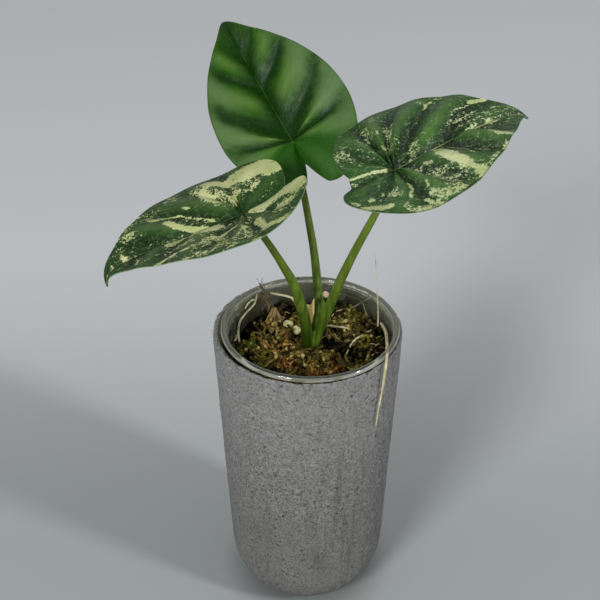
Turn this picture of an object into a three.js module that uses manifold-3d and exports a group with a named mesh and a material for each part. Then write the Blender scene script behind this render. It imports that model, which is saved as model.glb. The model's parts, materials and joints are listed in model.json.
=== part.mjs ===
// A young variegated alocasia in moss, in a clear cup that stands inside a grey stone-look pot.
// Millimetres, +Z up, origin at the centre of the pot's flat base. -Y is the front.
import * as THREE from 'three';
import { mergeVertices } from 'three/addons/utils/BufferGeometryUtils.js';
import Module from 'manifold-3d';

// Clearance between pieces that touch.
const GAP = 0.3;

const POT = {
  height: 131,
  rimRadius: 38,
  baseLineRadius: 32,
  cornerWidth: 19,
  cornerHeight: 24,
  wall: 2.4,
  rimLand: 1.6,
  rimBevelDepth: 9,
  floor: 3,
  sectors: 44,
};

const CUP = {
  centre: [1, -1.5],
  baseRadius: 21,
  baseCorner: 2.5,
  throatRadius: 33.6,
  wall: 0.7,
  lipBead: 1.25,
  lipArc: [-135, 144],
  lipAbovePot: 3,
  sectors: 40,
};

const MOSS = {
  level: 122.6,
  edgeDrop: 3,
  sideDrop: 8,
  sectors: 40,
  rings: [0.1, 0.22, 0.34, 0.46, 0.58, 0.7, 0.82, 0.92, 1],
  roughness: 0.7,
  swell: 0.6,
  seed: 7,
};

// Hollows (negative) and mounds in the moss: x, y, radius, height.
const MOSS_FORMS = [
  [-25, 6, 6, -4],
  [15, -4, 6, -3.2],
  [29, 8, 8, 3.8],
  [-14, 21, 6, 2.2],
  [9, 25, 9, 3.2],
  [2, -13, 9, 1.4],
  [-13, -8, 8, 1],
];

const GRAINS = {
  perlite_front: { at: [-4.9, 9.7, 124.4], radius: 1.9 },
  perlite_left: { at: [-8.4, 12.4, 124.6], radius: 1.8 },
  perlite_back: { at: [8, 27, 128], radius: 1.6 },
};

const CROWN = { centre: [2.6, 0.2], top: 119.4, bottom: 103, radius: 4.7 };

// Roots leave the crown under the moss, or branch from another root. Each path runs out to the root's tip.
const THIN_SIDES = 6;
const ROOTS = {
  overTheRim: {
    radius: [0.8, 0.5],
    path: [[3, 0, 112], [15, 6, 116], [25, 10, 119], [29.2, 10.8, 123.5], [30.1, 9.4, 127.8],
      [30.8, 5.5, 129.2], [31.3, 0.9, 130.4], [31.5, -3.8, 131.4], [31.2, -9.2, 132.8],
      [31, -13.4, 134.5], [30.7, -17.5, 135], [30.4, -22, 135.2], [30, -25.4, 133.7],
      [29.7, -26.2, 131], [29.4, -26.4, 127.8], [28.9, -26.4, 121.9], [27.7, -26.5, 112],
      [27.1, -26.6, 104.5]],
  },
  upright: {
    radius: [0.7, 0.3],
    path: [[3, 0, 113], [14, 3, 117], [25, 6.5, 118.5], [28.3, 7.8, 122], [28.7, 8, 128],
      [28.6, 8, 134], [28.2, 8, 141], [27.6, 8, 150], [27, 8, 157], [26.2, 8, 163.6]],
  },
  leftWall: {
    radius: [0.7, 0.5],
    path: [[2, 0, 112], [-10, 2, 115], [-22, 4, 116.5], [-26.8, 5.2, 119.5], [-28.3, 6.2, 123.6],
      [-27.8, 9.8, 128], [-25.4, 15, 129.1], [-22, 19.5, 130.6], [-20.8, 20.8, 134.6]],
  },
  leftBranch: {
    radius: [0.55, 0.4],
    path: [[-21.5, 20, 132], [-22.6, 19.2, 133], [-24.6, 16.8, 132.5], [-25.6, 15.2, 131.3]],
  },
  back: {
    radius: [0.7, 0.5],
    path: [[3, 0, 113], [1, 13, 117], [-2, 25, 118.5], [-4.6, 27.6, 123.5], [-6.2, 28.4, 126.8],
      [-8.8, 28.3, 128.6], [-11.9, 27.1, 130.4], [-15.4, 25.3, 132]],
  },
  short: {
    radius: [0.6, 0.45],
    path: [[3, 1, 115], [5.5, 7, 120.5], [8.3, 10.8, 125.2], [12, 10.4, 126.2], [15.8, 10.4, 125.6],
      [18.5, 11, 123.5]],
  },
  backWall: {
    radius: [0.5, 0.35],
    path: [[3, 1, 114], [7, 13, 120], [10.4, 18.3, 125.4], [14.6, 22, 126.6], [18.6, 23.8, 126.9],
      [22, 21.8, 128.6], [25, 18.9, 133]],
  },
  backArc: {
    radius: [0.5, 0.35],
    path: [[12.5, 25.8, 124.5], [17, 25.2, 126.6], [20.5, 23.2, 127], [24.3, 19.8, 125.8],
      [27.4, 15, 122.5]],
  },
  right: {
    radius: [0.55, 0.4],
    path: [[28.5, 7.9, 125], [25, 5.4, 125.2], [22, 3.2, 124.8], [18.4, 0.1, 123.6], [16, -2, 119]],
  },
};

const TWIG = {
  radius: [0.45, 0.35],
  path: [[-13.2, 17.4, 123], [-14.2, 19.6, 127], [-15.6, 22.4, 131], [-17.4, 25.2, 135.2],
    [-19.6, 27.4, 138.4]],
};

// The dried sheath between the left and the middle stem: its corners seen from the front, and its place.
const SHEATH = {
  outline: [[0.9, 133.5], [-0.9, 139], [-2, 144], [-2.6, 147.5], [-1, 145.4], [1.2, 145.2], [2.6, 148.6],
    [2.6, 142], [1.8, 137]],
  front: -1.6,
  thickness: 0.7,
};

// Shares of a blade's length, except for the thickness, the ridge of the midrib and the swell of the
// quilting, which are millimetres.
const BLADE = {
  thickness: 0.8,
  midribRise: 0.7,
  midribTaper: 0.8,
  quilt: 1.5,
  quiltFullRib: 0.35,
  quiltInnerShare: 0.3,
  quiltMarginLoss: 0.75,
  quiltLobes: 0.45,
  firstLobeVein: 4,
  ribSweep: 0.35,
  ribSweepPower: 0.5,
  ribLead: [0.3, 0.6],
  ribsPerVein: 5,
  across: [0, 0.13, 0.34, 0.57, 0.79, 1],
  hookStart: 0.8,
};

// Half outline of a flat blade as shares of its length: along the midrib from the stem, and out from it.
const HALF_OUTLINE = [
  [1, 0], [0.95, 0.022], [0.86, 0.085], [0.72, 0.195], [0.52, 0.315], [0.28, 0.4], [0.04, 0.42],
  [-0.17, 0.375], [-0.32, 0.275], [-0.4, 0.16], [-0.375, 0.065], [-0.27, 0],
];

// Where the side veins meet the margin, counted in points of the half outline.
const VEIN_ENDS = [0, 2.4, 3.45, 4.65, 6.1, 8, 11];

// heading, pitch, roll and fold are degrees; a blade's length runs from its stem to its tip, and the other
// sizes are shares of it. bend is how the midrib turns down per length, bendTip how its last fifth hooks.
const LEAVES = {
  back: {
    stemTop: [-6, 26.2, 202.6],
    length: 62.5,
    heading: 121.4,
    pitch: 27.7,
    roll: -19.5,
    bend: [-0.177, 0.024],
    bendTip: 1.104,
    bendLobes: 0.174,
    fold: [25.6, 29.5],
    curl: [-0.1, -0.121],
    width: 1.114,
    lobes: [0.85, 0.955],
    sinus: 0.169,
  },
  left: {
    stemTop: [-23.1, -23.4, 199.8],
    length: 56.7,
    heading: 199.5,
    pitch: -17,
    roll: 13.2,
    bend: [-0.44, 0.639],
    bendTip: 1.251,
    bendLobes: -1.026,
    fold: [7.6, 30],
    curl: [-0.201, -1.2],
    width: 1.366,
    lobes: [1.118, 0.958],
    sinus: 0.313,
  },
  right: {
    stemTop: [30.5, -14.4, 212.1],
    length: 57.4,
    heading: 25,
    pitch: 16.3,
    roll: 1.4,
    bend: [-0.251, 0.653],
    bendTip: 0.558,
    bendLobes: -0.475,
    fold: [20.4, 19.5],
    curl: [-1.078, -0.766],
    width: 1.369,
    lobes: [0.729, 1.061],
    sinus: 0.31,
  },
};

// Stems run from the crown up to the underside of their blade: points below the blade, and radius at each.
const STEM_SIDES = 10;
const STEM_FOOT = CROWN.top + GAP;
const STEMS = {
  back: {
    path: [[3.2, 1.2, STEM_FOOT], [3.9, 2.2, 126.9], [4.3, 3.9, 136.4], [3.9, 5.8, 145.1],
      [3.6, 7.6, 152.2], [2.4, 10.7, 162.5], [0.5, 14.3, 173.3], [-1.4, 17.9, 183],
      [-3.6, 21.8, 192.6]],
    radius: [1.5, 1.9, 2, 1.75, 1.6, 1.45, 1.35, 1.25, 1.2, 1.3],
  },
  left: {
    path: [[0.9, -0.8, STEM_FOOT], [-0.1, -1.7, 127], [-0.5, -3.3, 136.2], [-1.8, -4.8, 143.7],
      [-3.5, -6.8, 151.8], [-5.6, -9.2, 160.5], [-8.4, -11.5, 168], [-12.4, -14.8, 177.9],
      [-16.1, -18, 186.5], [-19.4, -20.5, 192.8]],
    radius: [1.5, 1.9, 2.1, 2.15, 2.05, 1.85, 1.6, 1.4, 1.3, 1.25, 1.4],
  },
  right: {
    path: [[4.6, -1, STEM_FOOT], [5.6, -1.7, 129.7], [7.2, -2.4, 138.3], [8.8, -3.1, 145.1],
      [10.8, -4.1, 153.5], [13.1, -5.1, 160.8], [16.6, -6.6, 170.7], [19.6, -7.9, 178.8],
      [24.9, -10.4, 192.8], [27.8, -12.5, 202.9]],
    radius: [1.5, 1.9, 2.1, 1.95, 1.8, 1.65, 1.5, 1.4, 1.3, 1.25, 1.4],
  },
};

const COLOURS = {
  stone: 0x7e7e7c,
  clear: 0xd8dedd,
  moss: 0x5b5424,
  leafDark: 0x2f5a22,
  leafMarbled: 0x6f8f52,
  stem: 0x4a6a22,
  root: 0xc9b98f,
  perlite: 0xddd8c4,
  dry: 0xa89257,
  twig: 0x4a3a24,
};

const wasm = await Module();
wasm.setup();

const radians = THREE.MathUtils.degToRad;
const lerp = THREE.MathUtils.lerp;

// A repeatable draw between 0 and 1.
function seededDraw(seed) {
  let state = seed;
  return () => {
    state = (state * 16807) % 2147483647;
    return state / 2147483647;
  };
}

// Turns a geometry inside out when its faces point inwards.
function facingOut(geometry) {
  const position = geometry.attributes.position;
  const index = geometry.index.array;
  const corner = [new THREE.Vector3(), new THREE.Vector3(), new THREE.Vector3()];
  let volume = 0;
  for (let i = 0; i < index.length; i += 3) {
    corner.forEach((p, k) => p.fromBufferAttribute(position, index[i + k]));
    volume += corner[0].dot(corner[1].clone().cross(corner[2]));
  }
  if (volume < 0) {
    for (let i = 0; i < index.length; i += 3) {
      [index[i + 1], index[i + 2]] = [index[i + 2], index[i + 1]];
    }
  }
  return geometry;
}

function geometryFrom(points, triangles) {
  const geometry = new THREE.BufferGeometry();
  const values = points.flatMap((p) => p.toArray());
  geometry.setAttribute('position', new THREE.Float32BufferAttribute(values, 3));
  geometry.setIndex(triangles);
  return facingOut(geometry);
}

// A closed skin over rings of equal count, with a point at each end.
function loft(rings, startPoint, endPoint) {
  const count = rings[0].length;
  const points = [...rings.flat(), startPoint, endPoint];
  const triangles = [];
  for (let i = 0; i < rings.length - 1; i += 1) {
    for (let k = 0; k < count; k += 1) {
      const next = (k + 1) % count;
      const a = i * count + k;
      const b = i * count + next;
      triangles.push(a, b, b + count, a, b + count, a + count);
    }
  }
  const start = points.length - 2;
  const end = points.length - 1;
  const lastRing = (rings.length - 1) * count;
  for (let k = 0; k < count; k += 1) {
    const next = (k + 1) % count;
    triangles.push(start, next, k, end, lastRing + k, lastRing + next);
  }
  return geometryFrom(points, triangles);
}

function mergedLathe(profile, sectors) {
  const outline = profile.map(([radius, height]) => new THREE.Vector2(radius, height));
  const lathe = new THREE.LatheGeometry(outline, sectors);
  lathe.deleteAttribute('normal');
  lathe.deleteAttribute('uv');
  lathe.rotateX(Math.PI / 2);
  return dropFlatFaces(mergeVertices(lathe, 1e-4));
}

// Faces that collapse to a line where a profile meets the axis are taken away.
function dropFlatFaces(geometry) {
  const index = geometry.index.array;
  const kept = [];
  for (let i = 0; i < index.length; i += 3) {
    const [a, b, c] = [index[i], index[i + 1], index[i + 2]];
    if (a !== b && b !== c && c !== a) kept.push(a, b, c);
  }
  geometry.setIndex(kept);
  return facingOut(geometry);
}

function solidOf(geometry) {
  return new wasm.Manifold(new wasm.Mesh({
    numProp: 3,
    vertProperties: new Float32Array(geometry.attributes.position.array),
    triVerts: new Uint32Array(geometry.index.array),
  }));
}

function geometryOf(solid) {
  const mesh = solid.getMesh();
  const geometry = new THREE.BufferGeometry();
  geometry.setAttribute('position', new THREE.Float32BufferAttribute(mesh.vertProperties, 3));
  geometry.setIndex(Array.from(mesh.triVerts));
  return geometry;
}

// The biggest body that a cut leaves.
function largestBody(solid) {
  const bodies = solid.decompose();
  return bodies.reduce((best, body) => (body.volume() > best.volume() ? body : best));
}

// A round strand along a smooth curve. Its radius runs along a list, and grow makes room for it in
// its neighbour.
function strand(path, radii, sides, grow = 0, endNormal = null) {
  const curve = new THREE.CatmullRomCurve3(path.map((p) => new THREE.Vector3(...p)), false, 'centripetal');
  const steps = (path.length - 1) * 2;
  const frames = curve.computeFrenetFrames(steps, false);
  const rings = [];
  let centre = null;
  for (let i = 0; i <= steps; i += 1) {
    const along = i / steps;
    centre = curve.getPointAt(along);
    const place = along * (radii.length - 1);
    const slot = Math.min(Math.floor(place), radii.length - 2);
    const radius = lerp(radii[slot], radii[slot + 1], place - slot) + grow;
    const across = frames.normals[i].clone();
    const up = frames.binormals[i].clone();
    if (endNormal && i === steps) {
      across.addScaledVector(endNormal, -across.dot(endNormal)).normalize();
      up.addScaledVector(endNormal, -up.dot(endNormal)).normalize();
    }
    rings.push(Array.from({ length: sides }, (_, k) => {
      const angle = (k / sides) * 2 * Math.PI;
      const rim = centre.clone().addScaledVector(across, radius * Math.cos(angle));
      return rim.addScaledVector(up, radius * Math.sin(angle));
    }));
  }
  const start = curve.getPointAt(0).addScaledVector(curve.getTangentAt(0), -grow);
  const end = centre.clone().addScaledVector(curve.getTangentAt(1), grow);
  return loft(rings, start, end);
}

function potOuterRadius(height) {
  return lerp(POT.baseLineRadius, POT.rimRadius, height / POT.height);
}

const potFlatRadius = potOuterRadius(POT.cornerHeight) - POT.cornerWidth;
const potInnerCorner = {
  width: POT.cornerWidth - POT.wall,
  height: POT.cornerHeight - POT.floor,
};

function outerPot() {
  const cornerSteps = 7;
  const outside = [[0, 0]];
  const inside = [[0, POT.floor]];
  for (let i = 0; i <= cornerSteps; i += 1) {
    const angle = (i / cornerSteps) * (Math.PI / 2);
    outside.push([
      potFlatRadius + POT.cornerWidth * Math.sin(angle),
      POT.cornerHeight * (1 - Math.cos(angle)),
    ]);
    inside.push([
      potFlatRadius + potInnerCorner.width * Math.sin(angle),
      POT.cornerHeight - potInnerCorner.height * Math.cos(angle),
    ]);
  }
  const bevelStart = POT.height - POT.rimBevelDepth;
  outside.push([POT.rimRadius, POT.height]);
  inside.push([potOuterRadius(bevelStart) - POT.wall, bevelStart]);
  inside.push([POT.rimRadius - POT.rimLand, POT.height]);
  return mergedLathe([...outside, ...inside.reverse()], POT.sectors);
}

// Height at which the cup's foot meets the rounded inside of the pot.
function cupSeatHeight() {
  const reach = CUP.baseRadius + Math.hypot(...CUP.centre) - potFlatRadius;
  const share = reach / potInnerCorner.width;
  return POT.cornerHeight - potInnerCorner.height * Math.sqrt(1 - share * share) + GAP;
}

const cupFoot = cupSeatHeight();
const lipTop = POT.height + CUP.lipAbovePot;
const lipHeight = lipTop - CUP.lipBead;

function cupOuterRadius(height) {
  return lerp(CUP.baseRadius, CUP.throatRadius, (height - cupFoot) / (lipHeight - cupFoot));
}

function clearCup() {
  const lipCentre = CUP.throatRadius + CUP.lipBead - CUP.wall / 2;
  const profile = [[0, cupFoot], [CUP.baseRadius - CUP.baseCorner, cupFoot]];
  const kneeHeight = cupFoot + CUP.baseCorner;
  profile.push([cupOuterRadius(kneeHeight), kneeHeight]);
  const lipSteps = 6;
  for (let i = 0; i <= lipSteps; i += 1) {
    const angle = radians(lerp(CUP.lipArc[0], CUP.lipArc[1], i / lipSteps));
    profile.push([lipCentre + CUP.lipBead * Math.cos(angle), lipHeight + CUP.lipBead * Math.sin(angle)]);
  }
  profile.push([cupOuterRadius(lipHeight) - CUP.wall, lipHeight - CUP.lipBead]);
  profile.push([cupOuterRadius(kneeHeight) - CUP.wall, kneeHeight]);
  profile.push([CUP.baseRadius - CUP.baseCorner, cupFoot + CUP.wall], [0, cupFoot + CUP.wall]);
  const geometry = mergedLathe(profile, CUP.sectors);
  geometry.translate(CUP.centre[0], CUP.centre[1], 0);
  return geometry;
}

function mossHeight(x, y) {
  const swell = MOSS.swell * Math.sin(0.42 * x + 1.1) * Math.cos(0.37 * y - 0.5);
  return MOSS_FORMS.reduce((height, [formX, formY, radius, rise]) => {
    const distance = Math.hypot(x - formX, y - formY) / radius;
    return height + rise * Math.exp(-distance * distance);
  }, MOSS.level + swell);
}

// Moss fills the cup from its floor, with a rough top.
function mossBed() {
  const draw = seededDraw(MOSS.seed);
  const around = (radius, heightAt) => Array.from({ length: MOSS.sectors }, (_, k) => {
    const angle = (k / MOSS.sectors) * 2 * Math.PI;
    const x = CUP.centre[0] + radius * Math.cos(angle);
    const y = CUP.centre[1] + radius * Math.sin(angle);
    return new THREE.Vector3(x, y, heightAt(x, y));
  });
  const clear = CUP.wall + GAP;
  const topRadius = cupOuterRadius(MOSS.level - MOSS.edgeDrop) - clear;
  const rings = MOSS.rings.map((share) => around(
    share * topRadius,
    (x, y) => mossHeight(x, y) + MOSS.roughness * (2 * draw() - 1),
  ));
  const lowest = cupFoot + clear;
  [MOSS.level - MOSS.sideDrop, MOSS.level / 2, cupFoot + CUP.baseCorner + 1].forEach((height) => {
    rings.push(around(cupOuterRadius(height) - clear, () => height));
  });
  rings.push(around(CUP.baseRadius - CUP.baseCorner - clear, () => lowest));
  const [x, y] = CUP.centre;
  return loft(rings, new THREE.Vector3(x, y, mossHeight(x, y)), new THREE.Vector3(x, y, lowest));
}

function crownBody(grow) {
  const { radius, top, bottom } = CROWN;
  const profile = [
    [0, bottom - grow],
    [radius * 0.55 + grow, bottom + 2],
    [radius + grow, lerp(bottom, top, 0.5)],
    [radius + grow, top - 1],
    [radius * 0.85 + grow, top + grow],
    [0, top + grow],
  ];
  const geometry = mergedLathe(profile, 16);
  geometry.translate(CROWN.centre[0], CROWN.centre[1], 0);
  return solidOf(geometry);
}

function crownAndRoots(grow = 0) {
  return Object.values(ROOTS).reduce(
    (body, root) => body.add(solidOf(strand(root.path, root.radius, THIN_SIDES, grow))),
    crownBody(grow),
  );
}

function perliteGrain({ at, radius }, seed, grow = 0) {
  const draw = seededDraw(seed);
  const grain = new THREE.IcosahedronGeometry(1, 1);
  grain.deleteAttribute('normal');
  grain.deleteAttribute('uv');
  const merged = mergeVertices(grain, 1e-4);
  const position = merged.attributes.position;
  for (let i = 0; i < position.count; i += 1) {
    const size = radius * lerp(0.86, 1.14, draw()) + grow;
    const corner = new THREE.Vector3().fromBufferAttribute(position, i).multiplyScalar(size);
    corner.add(new THREE.Vector3(...at));
    position.setXYZ(i, corner.x, corner.y, corner.z);
  }
  return solidOf(facingOut(merged));
}

// How far the midrib has turned down at a share u of the length.
function midribTurn(leaf, u) {
  if (u < 0) return leaf.bendLobes * u;
  const hook = Math.max(0, u - BLADE.hookStart) / (1 - BLADE.hookStart);
  return leaf.bend[0] * u + leaf.bend[1] * u * u + leaf.bendTip * hook * hook;
}

// Axes of a blade where its stem meets it: along the midrib, to its left, and out of its upper face.
function bladeAxes(leaf) {
  const heading = radians(leaf.heading);
  const pitch = radians(leaf.pitch);
  const along = new THREE.Vector3(
    Math.cos(heading) * Math.cos(pitch),
    Math.sin(heading) * Math.cos(pitch),
    Math.sin(pitch),
  );
  const level = new THREE.Vector3(-Math.sin(heading), Math.cos(heading), 0);
  const left = level.clone().applyAxisAngle(along, radians(leaf.roll));
  return { along, left, up: along.clone().cross(left) };
}

// A point of a blade's middle surface, u along the midrib and v out from it, as shares of the length.
function bladePoint(leaf, axes, u, v) {
  const steps = 24;
  let forward = 0;
  let down = 0;
  for (let i = 0; i < steps; i += 1) {
    const turn = midribTurn(leaf, (u * (i + 0.5)) / steps);
    forward += (Math.cos(turn) * u) / steps;
    down += (Math.sin(turn) * u) / steps;
  }
  const side = v >= 0 ? 0 : 1;
  const width = Math.abs(v);
  const fold = radians(leaf.fold[side]);
  let out = 0;
  let rise = 0;
  const arcSteps = 6;
  for (let i = 0; i < arcSteps; i += 1) {
    const slope = fold + (leaf.curl[side] * width * (i + 0.5)) / arcSteps;
    out += (Math.cos(slope) * width) / arcSteps;
    rise += (Math.sin(slope) * width) / arcSteps;
  }
  const turn = midribTurn(leaf, u);
  return new THREE.Vector3(...leaf.stemTop)
    .addScaledVector(axes.along, leaf.length * (forward + rise * Math.sin(turn)))
    .addScaledVector(axes.up, leaf.length * (rise * Math.cos(turn) - down))
    .addScaledVector(axes.left, leaf.length * out * Math.sign(v));
}

const halfOutline = new THREE.SplineCurve(HALF_OUTLINE.map(([u, v]) => new THREE.Vector2(u, v)));

// Where the margin of one half lies, counted in points of the half outline.
function marginPoint(leaf, side, place) {
  const last = HALF_OUTLINE.length - 1;
  const flat = halfOutline.getPoint(place / last);
  const nearSinus = THREE.MathUtils.clamp(place - (last - 1), 0, 1);
  const sinusShift = leaf.sinus + HALF_OUTLINE[last][0] * leaf.lobes[side];
  const u = flat.x < 0 ? flat.x * leaf.lobes[side] - nearSinus * sinusShift : flat.x;
  return new THREE.Vector2(u, place === last ? 0 : Math.max(flat.y, 0) * leaf.width);
}

// Where a rib starts on the midrib: it runs forwards to its end on the margin,
// and the rear ones start at the stem.
function ribStart(marginU) {
  return marginU <= 0 ? 0 : Math.max(0, marginU - BLADE.ribSweep * (1 - marginU) ** BLADE.ribSweepPower);
}

// The blade swells between its side veins and is drawn in along them.
function quiltRise(phase, across, ribLength) {
  const lobes = phase > BLADE.firstLobeVein ? BLADE.quiltLobes : 1;
  const between = lobes * Math.sin(Math.PI * phase) ** 2;
  const innerShare = BLADE.quiltInnerShare;
  const inner = 1 - (1 - Math.min(across / innerShare, 1)) ** 2;
  const outer = 1 - BLADE.quiltMarginLoss * (Math.max(0, across - innerShare) / (1 - innerShare)) ** 2;
  return BLADE.quilt * between * inner * outer * Math.min(1, ribLength / BLADE.quiltFullRib);
}

function ribPlaces() {
  const places = [];
  for (let vein = 0; vein < VEIN_ENDS.length - 1; vein += 1) {
    for (let i = 0; i < BLADE.ribsPerVein; i += 1) {
      const share = i / BLADE.ribsPerVein;
      places.push({ place: lerp(VEIN_ENDS[vein], VEIN_ENDS[vein + 1], share), phase: vein + share });
    }
  }
  places.push({ place: HALF_OUTLINE.length - 1, phase: VEIN_ENDS.length - 1 });
  return places;
}

// Points of a blade's middle surface, rib by rib on both halves, with the swell and the ridge under
// the midrib.
function bladeNet(leaf) {
  const axes = bladeAxes(leaf);
  const points = [];
  const known = new Map();
  const addPoint = (u, v, swell, ridge) => {
    const key = `${u.toFixed(5)} ${v.toFixed(5)}`;
    if (!known.has(key)) {
      known.set(key, points.length);
      points.push({ at: bladePoint(leaf, axes, u, v), swell, ridge });
    }
    return known.get(key);
  };
  const halves = [0, 1].map((side) => ribPlaces().map(({ place, phase }) => {
    const end = marginPoint(leaf, side, place);
    const startU = ribStart(end.x);
    const sign = side === 0 ? 1 : -1;
    const ribLength = Math.hypot(end.x - startU, end.y);
    const leadU = lerp(startU, end.x, BLADE.ribLead[0]);
    const leadV = end.y * BLADE.ribLead[1];
    return BLADE.across.map((t) => {
      const u = lerp(lerp(startU, leadU, t), lerp(leadU, end.x, t), t);
      const v = lerp(lerp(0, leadV, t), lerp(leadV, end.y, t), t);
      const ridge = t === 0 ? BLADE.midribRise * (1 - BLADE.midribTaper * Math.abs(u)) : 0;
      return addPoint(u, v === 0 ? 0 : sign * v, quiltRise(phase, t, ribLength), ridge);
    });
  }));
  const triangles = [];
  const addTriangle = (a, b, c, turned) => {
    if (a === b || b === c || c === a) return;
    triangles.push(turned ? [a, c, b] : [a, b, c]);
  };
  halves.forEach((ribs, side) => {
    for (let i = 0; i < ribs.length - 1; i += 1) {
      for (let j = 0; j < BLADE.across.length - 1; j += 1) {
        const [a, b] = [ribs[i][j], ribs[i][j + 1]];
        const [d, c] = [ribs[i + 1][j], ribs[i + 1][j + 1]];
        addTriangle(a, b, c, side === 0);
        addTriangle(a, c, d, side === 0);
      }
    }
  });
  const margin = [
    ...halves[0].map((rib) => rib[rib.length - 1]),
    ...halves[1].slice(1, -1).reverse().map((rib) => rib[rib.length - 1]),
  ];
  return { points, triangles, margin };
}

function pointNormals(points, triangles) {
  const normals = points.map(() => new THREE.Vector3());
  triangles.forEach(([a, b, c]) => {
    const edge = points[b].at.clone().sub(points[a].at);
    const face = edge.cross(points[c].at.clone().sub(points[a].at));
    [a, b, c].forEach((k) => normals[k].add(face));
  });
  return normals.map((normal) => normal.normalize());
}

// Both faces of a blade share one split into triangles, and a strip closes the margin.
function blade(leaf) {
  const { points, triangles, margin } = bladeNet(leaf);
  const normals = pointNormals(points, triangles);
  const sign = normals[0].dot(bladeAxes(leaf).up) < 0 ? -1 : 1;
  const half = BLADE.thickness / 2;
  const top = points.map((p, k) => p.at.clone().addScaledVector(normals[k], sign * (p.swell + half)));
  const under = points.map((p, k) =>
    p.at.clone().addScaledVector(normals[k], sign * (p.swell - half - p.ridge)));
  const count = points.length;
  const faces = triangles.flatMap(([a, b, c]) => [a, b, c, a + count, c + count, b + count]);
  margin.forEach((a, i) => {
    const b = margin[(i + 1) % margin.length];
    faces.push(a, b, b + count, a, b + count, a + count);
  });
  return geometryFrom([...top, ...under], faces);
}

function stem(name, grow = 0) {
  const leaf = LEAVES[name];
  const { up } = bladeAxes(leaf);
  const under = BLADE.thickness / 2 + BLADE.midribRise + GAP + grow;
  const top = new THREE.Vector3(...leaf.stemTop).addScaledVector(up, -under);
  return solidOf(strand([...STEMS[name].path, top.toArray()], STEMS[name].radius, STEM_SIDES, grow, up));
}

function driedSheath() {
  const outline = new THREE.Shape(SHEATH.outline.map(([x, z]) => new THREE.Vector2(x, z)));
  const geometry = new THREE.ExtrudeGeometry(outline, { depth: SHEATH.thickness, bevelEnabled: false });
  geometry.deleteAttribute('normal');
  geometry.deleteAttribute('uv');
  const merged = mergeVertices(geometry, 1e-4);
  merged.rotateX(Math.PI / 2);
  merged.translate(0, SHEATH.front, 0);
  return solidOf(facingOut(merged));
}

const group = new THREE.Group();

function addPiece(name, geometry, colour, finish = {}) {
  const material = new THREE.MeshStandardMaterial({ color: colour, roughness: 0.8, metalness: 0, ...finish });
  const mesh = new THREE.Mesh(geometry, material);
  mesh.name = name;
  group.add(mesh);
}

addPiece('outer_pot', outerPot(), COLOURS.stone, { roughness: 0.95 });
addPiece('clear_cup', clearCup(), COLOURS.clear, { roughness: 0.1 });

// A stem is cut clear of the ones that it wraps, and the dried sheath of both its neighbours.
const backStem = stem('back');
const rightStem = largestBody(stem('right').subtract(stem('back', GAP)));
const leftStem = largestBody(stem('left').subtract(stem('back', GAP)).subtract(stem('right', GAP)));
const sheath = largestBody(driedSheath().subtract(stem('back', GAP)).subtract(stem('left', GAP)));
const grown = crownAndRoots();
const grains = Object.entries(GRAINS);

let moss = solidOf(mossBed()).subtract(crownAndRoots(GAP));
Object.keys(STEMS).forEach((name) => {
  moss = moss.subtract(stem(name, GAP));
});
grains.forEach(([, grain], i) => {
  moss = moss.subtract(perliteGrain(grain, i + 1, GAP));
});
moss = moss.subtract(solidOf(strand(TWIG.path, TWIG.radius, THIN_SIDES, GAP)));

addPiece('moss_bed', geometryOf(largestBody(moss)), COLOURS.moss, { roughness: 1 });
addPiece('crown_and_roots', geometryOf(grown), COLOURS.root, { roughness: 0.7 });
addPiece('stem_back', geometryOf(backStem), COLOURS.stem, { roughness: 0.55 });
addPiece('stem_left', geometryOf(leftStem), COLOURS.stem, { roughness: 0.55 });
addPiece('stem_right', geometryOf(rightStem), COLOURS.stem, { roughness: 0.55 });
addPiece('blade_back', blade(LEAVES.back), COLOURS.leafDark, { roughness: 0.45 });
addPiece('blade_left', blade(LEAVES.left), COLOURS.leafMarbled, { roughness: 0.45 });
addPiece('blade_right', blade(LEAVES.right), COLOURS.leafMarbled, { roughness: 0.45 });
addPiece('dried_sheath', geometryOf(sheath), COLOURS.dry);
grains.forEach(([name, grain], i) => {
  addPiece(name, geometryOf(perliteGrain(grain, i + 1)), COLOURS.perlite, { roughness: 0.9 });
});
addPiece('dry_twig', strand(TWIG.path, TWIG.radius, THIN_SIDES), COLOURS.twig);

export default group;
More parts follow.
